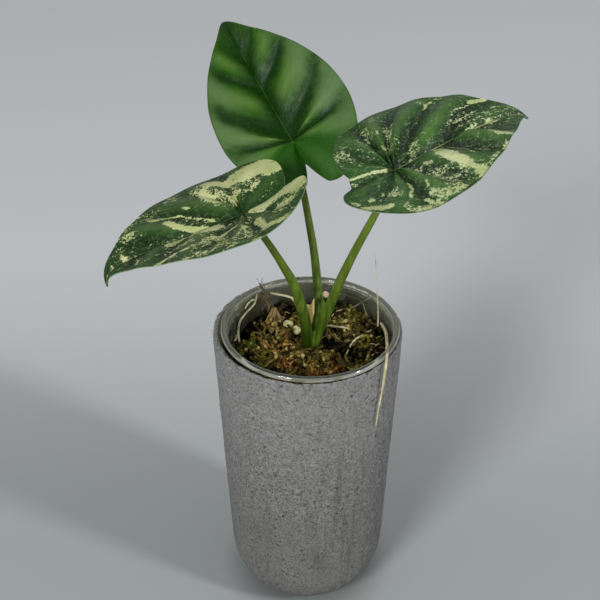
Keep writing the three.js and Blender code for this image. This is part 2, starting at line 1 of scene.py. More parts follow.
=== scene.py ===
# A young variegated alocasia rooted in moss, in a clear cup inside a rough grey pot.
# Metres, +Z up, the front towards -Y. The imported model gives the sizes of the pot, the cup and the moss.
import json
import math
import bmesh
import bpy
import numpy as np
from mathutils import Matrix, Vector

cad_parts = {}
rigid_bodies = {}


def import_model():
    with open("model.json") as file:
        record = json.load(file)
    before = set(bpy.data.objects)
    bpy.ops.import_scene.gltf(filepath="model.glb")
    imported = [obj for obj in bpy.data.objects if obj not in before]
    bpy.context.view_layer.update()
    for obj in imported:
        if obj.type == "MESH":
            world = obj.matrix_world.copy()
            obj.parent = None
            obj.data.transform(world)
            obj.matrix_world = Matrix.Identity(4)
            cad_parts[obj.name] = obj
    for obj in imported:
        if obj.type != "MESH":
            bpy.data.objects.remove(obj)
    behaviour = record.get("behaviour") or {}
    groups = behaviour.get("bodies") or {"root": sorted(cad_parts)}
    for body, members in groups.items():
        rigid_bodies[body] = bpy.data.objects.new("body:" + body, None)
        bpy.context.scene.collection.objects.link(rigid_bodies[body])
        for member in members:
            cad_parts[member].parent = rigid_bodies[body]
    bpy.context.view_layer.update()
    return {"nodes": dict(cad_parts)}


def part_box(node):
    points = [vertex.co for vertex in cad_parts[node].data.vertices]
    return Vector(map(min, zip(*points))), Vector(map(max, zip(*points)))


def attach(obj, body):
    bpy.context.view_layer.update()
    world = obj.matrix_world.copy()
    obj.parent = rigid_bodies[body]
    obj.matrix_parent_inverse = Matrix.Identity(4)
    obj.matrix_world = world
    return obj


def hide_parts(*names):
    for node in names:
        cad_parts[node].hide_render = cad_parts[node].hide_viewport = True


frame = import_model()
mm = 0.001
scene = bpy.context.scene


# small helpers shared by the pieces
def linkPiece(name, data, paint=None):
    piece = bpy.data.objects.new(name, data)
    scene.collection.objects.link(piece)
    if paint:
        data.materials.append(paint)
    return piece


def storeOn(mesh, label, values):
    values = np.asarray(values, dtype=np.float32)
    kind, slotName = ("FLOAT_VECTOR", "vector") if values.ndim == 2 else ("FLOAT", "value")
    mesh.attributes.new(label, kind, "POINT").data.foreach_set(slotName, values.ravel())


def meshOf(name, points, faces, attributes=None, edges=()):
    mesh = bpy.data.meshes.new(name)
    mesh.from_pydata([tuple(p) for p in points], edges, [tuple(f) for f in faces])
    mesh.update()
    for label, values in (attributes or {}).items():
        storeOn(mesh, label, values)
    mesh.shade_smooth()
    return mesh


def ringQuads(rows, sides):
    # faces between rows of points that each close on themselves
    faces = []
    for base in range(0, (rows - 1) * sides, sides):
        for k in range(sides):
            after = (k + 1) % sides
            faces.append((base + k, base + after, base + sides + after, base + sides + k))
    return faces


def placesOf(mesh):
    places = np.zeros(len(mesh.vertices) * 3)
    mesh.vertices.foreach_get("co", places)
    return places.reshape(-1, 3)


def movePoints(mesh, places):
    mesh.vertices.foreach_set("co", places.ravel())
    mesh.update()


def settle(piece, slot, *nodes):
    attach(piece, "root")
    if nodes:
        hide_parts(*nodes)


def repaint(node, paint):
    materials = frame["nodes"][node].data.materials
    materials.clear()
    materials.append(paint)


# node trees: every helper works in the tree of the socket that it is given
def plugIn(node, inputs):
    for socket, value in inputs.items():
        if isinstance(value, bpy.types.NodeSocket):
            node.id_data.links.new(value, node.inputs[socket])
        else:
            node.inputs[socket].default_value = value


def addNode(tree, kind, inputs=None, output=0, **settings):
    # gives back one of the new node's outputs
    node = tree.nodes.new(kind)
    for key, value in settings.items():
        setattr(node, key, value)
    plugIn(node, inputs or {})
    return node.outputs[output]


def mathsOf(operation):
    def combine(*values):
        total = values[0]
        for value in values[1:]:
            tree = (total if isinstance(total, bpy.types.NodeSocket) else value).id_data
            total = addNode(tree, "ShaderNodeMath", {0: total, 1: value}, operation=operation)
        return total
    return combine


plus, minus, times, over = (mathsOf(operation) for operation in ("ADD", "SUBTRACT", "MULTIPLY", "DIVIDE"))


def ramped(value, low, high, start=0.0, end=1.0, kind="SMOOTHSTEP"):
    inputs = {0: value, 1: low, 2: high, 3: start, 4: end}
    return addNode(value.id_data, "ShaderNodeMapRange", inputs, interpolation_type=kind)


def noiseOn(place, scale, detail=3.0, roughness=0.55, distortion=0.0):
    inputs = {"Vector": place, "Scale": scale, "Detail": detail, "Roughness": roughness,
              "Distortion": distortion}
    return addNode(place.id_data, "ShaderNodeTexNoise", inputs)


def vectorMaths(operation, place, inputs, output=0):
    return addNode(place.id_data, "ShaderNodeVectorMath", {0: place, **inputs}, output, operation=operation)


def distance(place, spot=(0, 0, 0)):
    return vectorMaths("DISTANCE", place, {1: spot}, "Value")


def partOf(vector, axis):
    return addNode(vector.id_data, "ShaderNodeSeparateXYZ", {0: vector}, axis)


def newTree(name, floats, others):
    tree = bpy.data.node_groups.new(name, "GeometryNodeTree")
    kinds = {"Geometry": "Geometry"} | dict.fromkeys(floats, "Float") | others | {"Material": "Material"}
    for label, kind in kinds.items():
        tree.interface.new_socket(label, in_out="INPUT", socket_type="NodeSocket" + kind)
    tree.interface.new_socket("Geometry", in_out="OUTPUT", socket_type="NodeSocketGeometry")
    return tree, tree.nodes.new("NodeGroupInput").outputs


def pushedOut(geometry, level, shift=None):
    # the surface moved along its normals by the level, and all of it by the shift
    tree = geometry.id_data
    normal = addNode(tree, "GeometryNodeInputNormal")
    push = vectorMaths("SCALE", normal, {"Scale": level})
    if shift:
        push = vectorMaths("ADD", push, {1: shift})
    return addNode(tree, "GeometryNodeSetPosition", {"Geometry": geometry, "Offset": push})


def endTree(geometry, paint):
    tree = geometry.id_data
    realized = addNode(tree, "GeometryNodeRealizeInstances", {"Geometry": geometry})
    smooth = addNode(tree, "GeometryNodeSetShadeSmooth", {"Geometry": realized})
    painted = addNode(tree, "GeometryNodeSetMaterial", {"Geometry": smooth, "Material": paint})
    plugIn(tree.nodes.new("NodeGroupOutput"), {0: painted})
    return tree


def grownPiece(name, mesh, tree, values):
    source = linkPiece(name + "Source", mesh)
    modifier = source.modifiers.new("grow", "NODES")
    modifier.node_group = tree
    for item in tree.interface.items_tree:
        if item.in_out == "INPUT" and item.name in values:
            modifier[item.identifier] = values[item.name]
    view = bpy.context.evaluated_depsgraph_get()
    grown = bpy.data.meshes.new_from_object(source.evaluated_get(view))
    grown.name = name
    source.modifiers.remove(modifier)
    bpy.data.objects.remove(source)
    return linkPiece(name, grown)


# materials
def tone(red, green, blue):
    shares = [level / 255 for level in (red, green, blue)]
    return (*(s / 12.92 if s <= 0.04045 else ((s + 0.055) / 1.055) ** 2.4 for s in shares), 1)


def newMaterial(name):
    material = bpy.data.materials.new(name)
    material.use_nodes = True
    tree = material.node_tree
    return material, tree, tree.nodes["Principled BSDF"]


def stretched(place, scale):
    return addNode(place.id_data, "ShaderNodeMapping", {"Vector": place, "Scale": scale})


def objectPlace(tree, scale=(1, 1, 1)):
    return stretched(addNode(tree, "ShaderNodeTexCoord", output="Object"), scale)


def carried(tree, name, output="Fac"):
    return addNode(tree, "ShaderNodeAttribute", output=output, attribute_name=name)


def colourMix(share, first, second):
    inputs = {0: share, 6: first, 7: second}
    return addNode(share.id_data, "ShaderNodeMix", inputs, 2, data_type="RGBA")


def layered(body, layers):
    # a layer is a ready share and its paint, or: what the share follows, from where to where, the share
    # at both ends if that isn't 0 and 1, and its paint
    for *ramp, paint in layers:
        body = colourMix(ramped(*ramp) if len(ramp) > 1 else ramp[0], body, paint)
    return body


def bumped(shader, height, depth, strength=1.0):
    inputs = {"Height": height, "Distance": depth, "Strength": strength}
    plugIn(shader, {"Normal": addNode(shader.id_data, "ShaderNodeBump", inputs)})


def stoneMaterial():
    material, tree, shader = newMaterial("roughGreyStone")
    look = stoneLook
    place = objectPlace(tree)
    grain, coarse, cloud = (noiseOn(place, *look[name]) for name in ("grain", "coarse", "cloud"))
    pits = ramped(noiseOn(place, *look["pits"]), 0.29, 0.37, 1, 0)
    streaks = ramped(noiseOn(objectPlace(tree, (1, 1, 0.06)), *look["streaks"]), 0.5, 0.66)
    sides = ramped(noiseOn(objectPlace(tree, (1, 1, 0.3)), *look["sides"]), 0.42, 0.62, 0, look["streaking"])
    height = partOf(place, "Z")
    outline = plus(times(height, potSlope), pot["baseLineRadius"])
    depth = minus(outline, distance(objectPlace(tree, (1, 1, 0))))
    within = times(ramped(depth, pot["wall"] * 0.7, pot["wall"] * 0.95),
                   ramped(height, pot["cornerHeight"] * 1.2, pot["cornerHeight"] * 1.5))
    body = layered(look["dark"], [
        (grain, 0.36, 0.64, look["light"]),
        (coarse, 0.5, 0.7, 0, 0.35, look["pale"]),
        (cloud, 0.35, 0.65, 0, 0.3, look["shade"]),
        # painted shade darkens the lower pot and painted light brightens the upper pot
        (height, 30 * mm, 90 * mm, 0.4, 0, look["foot"]),
        (height, 70 * mm, 125 * mm, 0, 0.22, look["pale"]),
        (times(streaks, sides), look["pit"]),
        (times(pits, 0.7), look["pit"]),
        (within, look["inside"]),
    ])
    plugIn(shader, {"Base Color": body, "Roughness": 0.9, "Diffuse Roughness": 1, "Specular IOR Level": 0.3})
    relief = minus(plus(grain, times(coarse, 0.9)), times(pits, 0.5))
    bumped(shader, relief, look["relief"])
    return material


def clearPlastic():
    material, tree, shader = newMaterial("clearPlastic")
    look = cupLook
    place = objectPlace(tree, (1, 1, 0.3))
    lipFoot = cup["top"] + cup["lipRise"][0]
    lip = ramped(partOf(objectPlace(tree), "Z"), lipFoot - 2.9 * mm, lipFoot - 1.9 * mm)
    fromAxis = distance(objectPlace(tree, (1, 1, 0)), (*cup["centre"], 0))
    turns = times(fromAxis, 2 * math.pi / look["bandWidth"])
    bands = addNode(tree, "ShaderNodeMath", {0: turns}, operation="SINE")
    haze = times(lip, ramped(bands, 0.1, 0.9, look["lipHaze"], look["bandHaze"]))
    scuffs = ramped(noiseOn(place, *look["scuffs"]), 0.5, 0.75, *look["roughness"])
    plugIn(shader, {"Base Color": look["tint"], "IOR": look["ior"], "Roughness": scuffs,
                    "Transmission Weight": minus(look["wallClear"], haze)})
    bumped(shader, noiseOn(place, *look["ripple"]), 0.2 * mm, 0.25)
    return material


def marbling(place, ground, blush, look):
    # grey and cream layers: the marks of a blade, broken up by streaks and flecks
    streaks = noiseOn(stretched(place, (1, 0.5, 1)), *leafNoise["streaks"])
    flecks, greys = (noiseOn(ground, *leafNoise[name]) for name in ("flecks", "greys"))
    uneven = times(minus(streaks, 0.5), look["streakGain"])
    signal = plus(carried(place.id_data, "cream"), uneven, times(minus(flecks, 0.5), look["fleckGain"]))
    creamTone = colourMix(ramped(blush, 0.3, 0.7), look["cream"], look["creamShade"])
    return [(greys, 0.5, 0.66, 0, look["greyShow"], look["grey"]), (signal, -0.13, -0.01, look["grey"]),
            (signal, 0, 0.04, creamTone)]


def leafMaterial(name, look):
    material, tree, shader = newMaterial(name)
    place = carried(tree, "veinPlace", "Vector")
    ground = objectPlace(tree)
    blush, dapple, mottle, wear = (noiseOn(ground, *leafNoise[name])
                                   for name in ("blush", "dapple", "mottle", "wear"))
    rise = plus(carried(tree, "bulge"), times(minus(plus(blush, dapple), 1), 0.6))
    fromMidrib = carried(tree, "fromMidrib")
    vein = partOf(place, "X")
    shadeEnd = look["shadeReach"]
    marginSheen = times(ramped(fromMidrib, shadeEnd, shadeEnd + 12 * mm, 0, look["sheenShow"]),
                         ramped(rise, 0.1, 0.7, 0.1, 1))
    onRib = ramped(fromMidrib, look["midribWidth"] * 0.4, look["midribWidth"], 1, 0)
    ahead = minus(1.0, ramped(vein, 4.6 * veinGap, 5.4 * veinGap))
    body = layered(look["vein"], [
        # darker in the vein valleys and lighter on the crests: partly the blade's own tones, partly painted
        # shade in the creases and painted light on the crests
        (rise, 0.02, look["veinEnd"], look["body"]),
        (rise, look["crestStart"], 1.2, look["crest"]),
        # a painted sheen: greyer and lighter towards the margin on the raised parts
        (marginSheen, look["outer"]),
        (fromMidrib, 1 * mm, shadeEnd, look["shadeShow"], 0, look["vein"]),
        # painted light: the lobes by the notch are lightened to offset their shade
        (vein, 4.1 * veinGap, 5 * veinGap, 0, look["lobeLightShow"], look["lobe"]),
        (mottle, 0.5, 0.75, 0, look["speckle"], look["crest"]),
        *(marbling(place, ground, blush, look) if look["marks"] else []),
        (times(onRib, ahead, look["midribShow"]), look["midrib"]),
        (carried(tree, "underside"), look["under"]),
    ])
    roughness = ramped(wear, 0.3, 0.7, look["gloss"], look["gloss"] + 0.2)
    plugIn(shader, {"Base Color": body, "Roughness": roughness, "Specular IOR Level": look["shine"]})
    wrinkles = noiseOn(stretched(place, (1.5, 0.35, 1)), *leafNoise["wrinkles"])
    bumped(shader, plus(wrinkles, times(mottle, 0.15)), look["wrinkleDepth"], look["wrinkle"])
    return material


def stemMaterial():
    material, tree, shader = newMaterial("greenStem")
    look = stemLook
    ground = objectPlace(tree)
    height = partOf(ground, "Z")
    streaks = noiseOn(objectPlace(tree, (1, 1, 0.12)), *look["streaks"])
    shaded = times(ramped(partOf(ground, "X"), 0.5 * mm, 2.5 * mm, 0.75, 0),
                   ramped(height, 130 * mm, 150 * mm, 1, 0))
    body = layered(look["foot"], [
        (height, 122 * mm, 200 * mm, look["top"]),
        (streaks, 0.35, 0.7, 0, 0.7, look["streak"]),
        (shaded, look["shaded"]),
    ])
    plugIn(shader, {"Base Color": body, "Roughness": 0.45, "Specular IOR Level": 0.18,
                    "Subsurface Weight": 0.12, "Subsurface Radius": (1 * mm, 1.6 * mm, 0.5 * mm)})
    bumped(shader, streaks, 0.2 * mm, 0.5)
    return material


def fibreMaterial(name, light, dark, scale, roughness=0.75, stretch=(1, 1, 0.4)):
    material, tree, shader = newMaterial(name)
    place = objectPlace(tree, stretch)
    body = layered(dark, [(noiseOn(place, scale, 4, 0.65), 0.36, 0.66, light)])
    plugIn(shader, {"Base Color": body, "Roughness": roughness})
    bumped(shader, noiseOn(place, scale * 2.5, 3), 0.3 * mm, 0.6)
    return material


def mossMaterial():
    material, tree, shader = newMaterial("driedMoss")
    look = mossLook
    place = objectPlace(tree)
    shade, along = carried(tree, "tint"), carried(tree, "along")
    patches = []
    for x, y, radius, _, tint in moss["clumps"]:
        away = distance(place, (x * mm, y * mm, moss["level"]))
        patches.append((away, radius * 0.6 * mm, radius * 1.3 * mm, 0.9, 0, mossTones[tint]))
    body = layered(look["between"], patches + [
        (shade, 0, 0.55, 0.6, 0, look["dark"]),
        (times(ramped(shade, 0.5, 0.95, 0, 0.45), ramped(along, 0.3, 1)), look["tip"]),
        # painted shade: darker at small random spots, where the bed is thinly covered, and at the strands'
        # bases and between their knots
        (noiseOn(place, *look["shadeSpots"]), 0.36, 0.52, 0.35, 0, look["hollowShade"]),
        (carried(tree, "cover"), 0.25, 0.9, 0.95, 0, look["hollowShade"]),
        (along, 0, 0.7, 0.35, 0, look["hollowShade"]),
    ])
    plugIn(shader, {"Base Color": body, "Roughness": 0.85, "Specular IOR Level": 0.12})
    return material


def mossGround():
    # the bed under the strands: painted shade, almost black, for the gaps between them
    material, tree, shader = newMaterial("mossGapShade")
    cloud = noiseOn(objectPlace(tree), *mossLook["ground"])
    body = layered(mossLook["hollowShade"], [(cloud, 0.5, 0.75, 0, 0.6, mossLook["dark"])])
    plugIn(shader, {"Base Color": body, "Roughness": 0.95, "Specular IOR Level": 0.03})
    bumped(shader, cloud, 1.5 * mm)
    return material


# the pot: a lathe whose surface is roughened by a tree
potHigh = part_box("outer_pot")[1]
stoneLook = {
    "light": tone(149, 149, 147),
    "shade": tone(114, 114, 112),
    "dark": tone(74, 75, 73),
    "pale": tone(172, 172, 170),
    "pit": tone(52, 51, 50),
    # the foot tone is painted shade towards the bottom of the pot
    "foot": tone(96, 96, 92),
    "inside": tone(108, 110, 82),
    "streaking": 0.3,
    "relief": 1.2 * mm,
    # noises: waves per metre, detail and roughness
    "grain": (1150, 5, 0.75), "coarse": (420, 3, 0.65), "cloud": (40, 3),
    "pits": (640, 2, 0.5), "streaks": (300, 3, 0.6), "sides": (22, 1),
}
pot = {
    "height": potHigh.z,
    "rimRadius": potHigh.x,
    "baseLineRadius": 32 * mm,
    "cornerWidth": 19 * mm,
    "cornerHeight": 24 * mm,
    "cornerSteps": 22,
    "innerRowHeights": 4,
    "wall": 2.4 * mm,
    "rimLand": 1.5 * mm,
    "rimInset": 2.9 * mm,
    "rimRounding": 0.5 * mm,
    "mouthShift": (0.6 * mm, -0.9 * mm),
    "rimChamfer": 2 * mm,
    "rimBevelDepth": 9 * mm,
    "rimRise": (1.9 * mm, 0.7 * mm),
    "backPull": 1.5 * mm,
    "riseStart": 95 * mm,
    "riseEnd": 1 * mm,
    "floor": 3 * mm,
    "sectors": 340,
    "rowHeight": 0.72 * mm,
    "grainSize": 1.3 * mm,
    "roughDepth": 0.75 * mm,
    "chipDepth": 0.5 * mm,
    "chipReach": 3.5 * mm,
}
potSlope = (pot["rimRadius"] - pot["baseLineRadius"]) / pot["height"]


def spaced(points, step):
    fine = [points[0]]
    for start, end in zip(points, points[1:]):
        count = max(1, round(math.dist(start, end) / step))
        start, span = np.array(start), np.array(end) - np.array(start)
        fine += [tuple(start + span * i / count) for i in range(1, count + 1)]
    return fine


def latheMesh(name, profile, sectors, centre=(0, 0)):
    # a closed profile that starts and ends on the axis
    rings = profile[1:-1]
    angles = np.linspace(0, 2 * math.pi, sectors, endpoint=False)
    points = [(centre[0] + radius * math.cos(angle), centre[1] + radius * math.sin(angle), height)
              for radius, height in rings for angle in angles]
    faces = ringQuads(len(rings), sectors)
    last = (len(rings) - 1) * sectors
    for (_, height), ring, step in ((profile[0], 0, -1), (profile[-1], last, 1)):
        tip = len(points)
        points.append((*centre, height))
        for k in range(sectors):
            faces.append((tip, *(ring + k, ring + (k + 1) % sectors)[::step]))
    return meshOf(name, points, faces)


def potProfile():
    base, rim, top, wall = (pot[name] for name in ("baseLineRadius", "rimRadius", "height", "wall"))
    width, corner, floor = (pot[name] for name in ("cornerWidth", "cornerHeight", "floor"))
    flat = base + (rim - base) * corner / top - width
    outside, inside = [(0, 0)], [(0, floor)]
    for angle in np.linspace(0, math.pi / 2, pot["cornerSteps"]):
        across, down = math.sin(angle), math.cos(angle)
        outside.append((flat + width * across, corner * (1 - down)))
        inside.append((flat + (width - wall) * across, corner - (corner - floor) * down))
    bevel = top - pot["rimBevelDepth"]
    outside += [(rim, top - pot["rimRounding"]), (rim - pot["rimRounding"], top)]
    inside += [(base + potSlope * bevel - wall, bevel), (rim - pot["rimInset"], top - pot["rimChamfer"]),
               (rim - pot["rimLand"], top)]
    return (spaced(outside, pot["rowHeight"])
            + spaced(inside[::-1], pot["innerRowHeights"] * pot["rowHeight"]))


def roughTree():
    floats = ["Grain Size", "Depth", "Chip Depth", "Chip Reach", "Foot", "Rim"]
    tree, given = newTree("roughStone", floats, {})
    place = addNode(tree, "GeometryNodeInputPosition")
    height = partOf(place, "Z")
    fineness = over(1.0, given["Grain Size"])
    grain = noiseOn(place, fineness, 3, 0.7)
    swell = noiseOn(place, times(fineness, 0.22), 2)
    chips = noiseOn(place, times(fineness, 0.45), 3, 0.6, 0.5)
    level = times(plus(minus(grain, 0.5), minus(swell, 0.5)), given["Depth"])
    nearRim = ramped(minus(given["Rim"], height), 0.0, given["Chip Reach"], 1.0, 0.0, "LINEAR")
    chipped = ramped(chips, 0.44, 0.62, kind="LINEAR")
    level = minus(level, times(chipped, nearRim, given["Chip Depth"]))
    clear = ramped(height, 0.0, given["Foot"], kind="LINEAR")
    return endTree(pushedOut(given["Geometry"], times(level, clear)), given["Material"])


def raiseTop(mesh, start, end, rise, centre, radius):
    # lifts what lies above the start, fully from the end on, and more towards the front
    places = placesOf(mesh)
    share = np.clip((places[:, 2] - start) / (end - start), 0, 1)
    places[:, 2] += share * (rise[0] - rise[1] * (places[:, 1] - centre[1]) / radius)
    movePoints(mesh, places)


def shapeMouth(mesh):
    # the stone's inner edge lies under the cup's lip, which stands a little off the pot's axis,
    # and the rim is drawn in a little at the back
    places = placesOf(mesh)
    near = np.clip((places[:, 2] - pot["height"] + pot["rimBevelDepth"]) / (pot["rimBevelDepth"] / 2), 0, 1)
    inside = np.clip((pot["rimRadius"] - np.hypot(places[:, 0], places[:, 1])) / pot["rimInset"], 0, 1)
    inside = np.where(inside > 0.4, inside, 0)
    upper = np.clip((places[:, 2] - pot["riseStart"]) / (pot["height"] - pot["riseStart"]), 0, 1)
    places[:, :2] += (near * inside)[:, None] * np.array(pot["mouthShift"])
    places[:, 1] -= upper * pot["backPull"] * np.maximum(0, places[:, 1]) / pot["rimRadius"]
    movePoints(mesh, places)


potBlank = latheMesh("potBlank", potProfile(), pot["sectors"])
shapeMouth(potBlank)
raiseTop(potBlank, pot["riseStart"], pot["height"] - pot["riseEnd"], pot["rimRise"], (0, 0),
         pot["rimRadius"])
piece = grownPiece("stonePot", potBlank, roughTree(), {
    "Grain Size": pot["grainSize"], "Depth": pot["roughDepth"], "Chip Depth": pot["chipDepth"],
    "Chip Reach": pot["chipReach"], "Foot": pot["floor"], "Rim": pot["height"], "Material": stoneMaterial()})
settle(piece, "stone_pot", "outer_pot")
print("pot", len(piece.data.polygons))


# the clear cup
cupLow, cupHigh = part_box("clear_cup")
cupLook = {"tint": tone(222, 224, 208), "ior": 1.46, "wallClear": 0.97, "lipHaze": 0.02, "bandHaze": 0.17,
           "bandWidth": 1.1 * mm, "scuffs": (180, 4), "roughness": (0.05, 0.2), "ripple": (90, 2)}
cup = {
    "centre": ((cupLow.x + cupHigh.x) / 2, (cupLow.y + cupHigh.y) / 2),
    "foot": cupLow.z,
    "top": cupHigh.z,
    "lipRadius": (cupHigh.x - cupLow.x) / 2,
    "bead": 1.25 * mm,
    "beadTurn": (-135, 144, 22),
    "wall": 0.7 * mm,
    "ledgeWidth": 0.35 * mm,
    "ledgeSteps": (2.2 * mm, 3.2 * mm, 4.2 * mm),
    "baseRadius": 21 * mm,
    "corner": 2.5 * mm,
    "sectors": 160,
    "lipRise": (1.65 * mm, 0.5 * mm),
    "riseStart": 124 * mm,
    "riseEnd": 3 * mm,
}


def cupProfile():
    bead, wall, foot, base, corner = (cup[name] for name in ("bead", "wall", "foot", "baseRadius", "corner"))
    lipHeight = cup["top"] - bead
    beadCentre = cup["lipRadius"] - bead
    throat = beadCentre - bead + wall / 2
    slope = (throat - base) / (lipHeight - foot)
    outer = [(0, foot), (base - corner, foot), (base + slope * corner, foot + corner)]
    for angle in np.radians(np.linspace(*cup["beadTurn"])):
        outer.append((beadCentre + bead * math.cos(angle), lipHeight + bead * math.sin(angle)))
    upper, lower, ledge = (lipHeight - step for step in cup["ledgeSteps"])
    inset = throat - wall - cup["ledgeWidth"]
    inner = [(throat - wall, lipHeight - bead), (inset, upper), (inset, lower),
             (base + slope * (ledge - foot) - wall, ledge), (base + slope * corner - wall, foot + corner),
             (base - corner, foot + wall), (0, foot + wall)]
    return outer + inner


cupMesh = latheMesh("clearCup", cupProfile(), cup["sectors"], cup["centre"])
raiseTop(cupMesh, cup["riseStart"], cup["top"] - cup["riseEnd"], cup["lipRise"], cup["centre"],
         cup["lipRadius"])
settle(linkPiece("clearCup", cupMesh, clearPlastic()), "clear_cup", "clear_cup")
print("cup", len(cupMesh.polygons))


# blades: ribs run from the midrib to the margin, and the blade swells between its side veins
veinGap = 8 * mm
bladeForm = {
    "thickness": 0.55 * mm,
    "midribRise": 0.7 * mm,
    "midribTaper": 0.8,
    "midribHalfWidth": 0.9 * mm,
    "crease": 0.3 * mm,
    "creaseWidth": 0.07,
    "quiltFullRib": 0.35,
    "quiltInnerShare": 0.3,
    "quiltMarginLoss": 0.75,
    "quiltLobes": 0.45,
    "marginStart": 0.65,
    "firstLobeVein": 4,
    "ribSweepPower": 0.5,
    "ribLead": (0.3, 0.6),
    "hookStart": 0.8,
    "ribsPerVein": 32,
    "stepsAcross": 52,
    "midribSteps": 24,
    "curlSteps": 6,
}
halfOutline = [
    (1, 0), (0.95, 0.022), (0.86, 0.085), (0.72, 0.195), (0.52, 0.315), (0.28, 0.4), (0.04, 0.42),
    (-0.17, 0.375), (-0.32, 0.275), (-0.4, 0.16), (-0.375, 0.065), (-0.27, 0),
]
evenVeins = [0, 2.4, 3.45, 4.65, 6.1, 8, 11]
leaves = {
    "back": {
        "stemTop": (-6, 26.2, 202.6), "length": 62.5, "heading": 121.4, "pitch": 27.7, "roll": -19.5,
        "bend": (-0.177, 0.024), "bendTip": 1.104, "bendLobes": 0.174, "fold": (25.6, 29.5),
        "curl": (-0.1, -0.121), "width": 1.114, "lobes": (0.85, 0.955), "sinus": 0.169,
        "quilt": 1.5 * mm, "sweep": (0.35, 0.35), "veinEnds": evenVeins,
    },
    "left": {
        "stemTop": (-23.1, -23.4, 199.8), "length": 56.7, "heading": 199.5, "pitch": -17, "roll": 13.2,
        "bend": (-0.44, 0.639), "bendTip": 1.251, "bendLobes": -1.026, "fold": (7.6, 30),
        "curl": (-0.201, -1.2), "width": 1.366, "lobes": (1.118, 0.958), "sinus": 0.313,
        "quilt": 1.5 * mm, "sweep": (0.35, 0.7), "veinEnds": evenVeins,
    },
    "right": {
        "stemTop": (30.5, -14.4, 212.1), "length": 57.4, "heading": 25, "pitch": 16.3, "roll": 1.4,
        "bend": (-0.251, 0.653), "bendTip": 0.558, "bendLobes": -0.475, "fold": (20.4, 19.5),
        "curl": (-1.078, -0.766), "width": 1.369, "lobes": (0.729, 1.061), "sinus": 0.31,
        "quilt": 2.8 * mm, "sweep": (0.8, 0.35), "veinEnds": [0, 2.8, 3.75, 4.85, 6.3, 8.2, 11],
    },
}


def directionOf(turn, tilt):
    return Vector((math.cos(turn) * math.cos(tilt), math.sin(turn) * math.cos(tilt), math.sin(tilt)))


def midribTurn(leaf, u):
    hook = np.maximum(0, u - bladeForm["hookStart"]) / (1 - bladeForm["hookStart"])
    ahead = leaf["bend"][0] * u + leaf["bend"][1] * u * u + leaf["bendTip"] * hook * hook
    return np.where(u < 0, leaf["bendLobes"] * u, ahead)


def bladeAxes(leaf):
    heading, pitch, roll = (math.radians(leaf[name]) for name in ("heading", "pitch", "roll"))
    along = directionOf(heading, pitch)
    level = Vector((-math.sin(heading), math.cos(heading), 0))
    left = level * math.cos(roll) + along.cross(level) * math.sin(roll)
    return np.array(along), np.array(left), np.array(along.cross(left))


def middles(count):
    return (np.arange(count) + 0.5) / count


def bladePoints(leaf, u, v):
    # u runs along the midrib and v out from it, as shares of the length
    along, left, up = bladeAxes(leaf)
    turns = midribTurn(leaf, u[:, None] * middles(bladeForm["midribSteps"]))
    forward = u * np.cos(turns).mean(axis=1)
    down = u * np.sin(turns).mean(axis=1)
    width = np.abs(v)
    fold, curl = (np.where(v >= 0, *leaf[name]) for name in ("fold", "curl"))
    slopes = np.radians(fold)[:, None] + (curl * width)[:, None] * middles(bladeForm["curlSteps"])
    out = width * np.cos(slopes).mean(axis=1) * np.sign(v)
    rise = width * np.sin(slopes).mean(axis=1)
    turn = midribTurn(leaf, u)
    length = leaf["length"] * mm
    ahead = length * (forward + rise * np.sin(turn))
    raised = length * (rise * np.cos(turn) - down)
    start = np.array(leaf["stemTop"]) * mm
    return start + np.outer(ahead, along) + np.outer(raised, up) + np.outer(length * out, left)


def curvePoint(points, place):
    # a uniform Catmull-Rom curve whose end points are doubled
    last = len(points) - 1
    slot = min(int(place), last)
    share = place - slot
    places = [min(max(slot + k, 0), last) for k in (-1, 0, 1, 2)]
    before, here, after, beyond = (np.array(points[k], float) for k in places)
    leave = (after - before) / 2
    arrive = (beyond - here) / 2
    cubic = 2 * here - 2 * after + leave + arrive
    square = -3 * here + 3 * after - 2 * leave - arrive
    return cubic * share ** 3 + square * share ** 2 + leave * share + here


def marginPoint(leaf, side, place):
    last = len(halfOutline) - 1
    u, v = curvePoint(halfOutline, place)
    if u < 0:
        nearSinus = min(max(place - (last - 1), 0), 1)
        shift = leaf["sinus"] + halfOutline[last][0] * leaf["lobes"][side]
        u = u * leaf["lobes"][side] - nearSinus * shift
    return u, 0.0 if place >= last else max(v, 0) * leaf["width"]


def ribNet(leaf, side):
    # flat places of one half, rib by rib, with each place's vein count and share of its rib
    form = bladeForm
    count = form["ribsPerVein"]
    ends = leaf["veinEnds"]
    phases = np.arange((len(ends) - 1) * count + 1) / count
    places = np.interp(phases, np.arange(len(ends)), ends)
    share = np.linspace(0, 1, form["stepsAcross"] + 1)
    bow = 2 * share * (1 - share)
    rows = []
    for phase, place in zip(phases, places):
        endU, endV = marginPoint(leaf, side, place)
        startU = 0.0
        if endU > 0:
            startU = max(0.0, endU - leaf["sweep"][side] * max(0, 1 - endU) ** form["ribSweepPower"])
        leadU = startU + (endU - startU) * form["ribLead"][0]
        u = startU * (1 - share) ** 2 + leadU * bow + endU * share ** 2
        v = endV * form["ribLead"][1] * bow + endV * share ** 2
        length = math.hypot(endU - startU, endV)
        rows.append(np.stack([u, v, np.full_like(u, phase), share, np.full_like(u, length)], axis=1))
    return rows


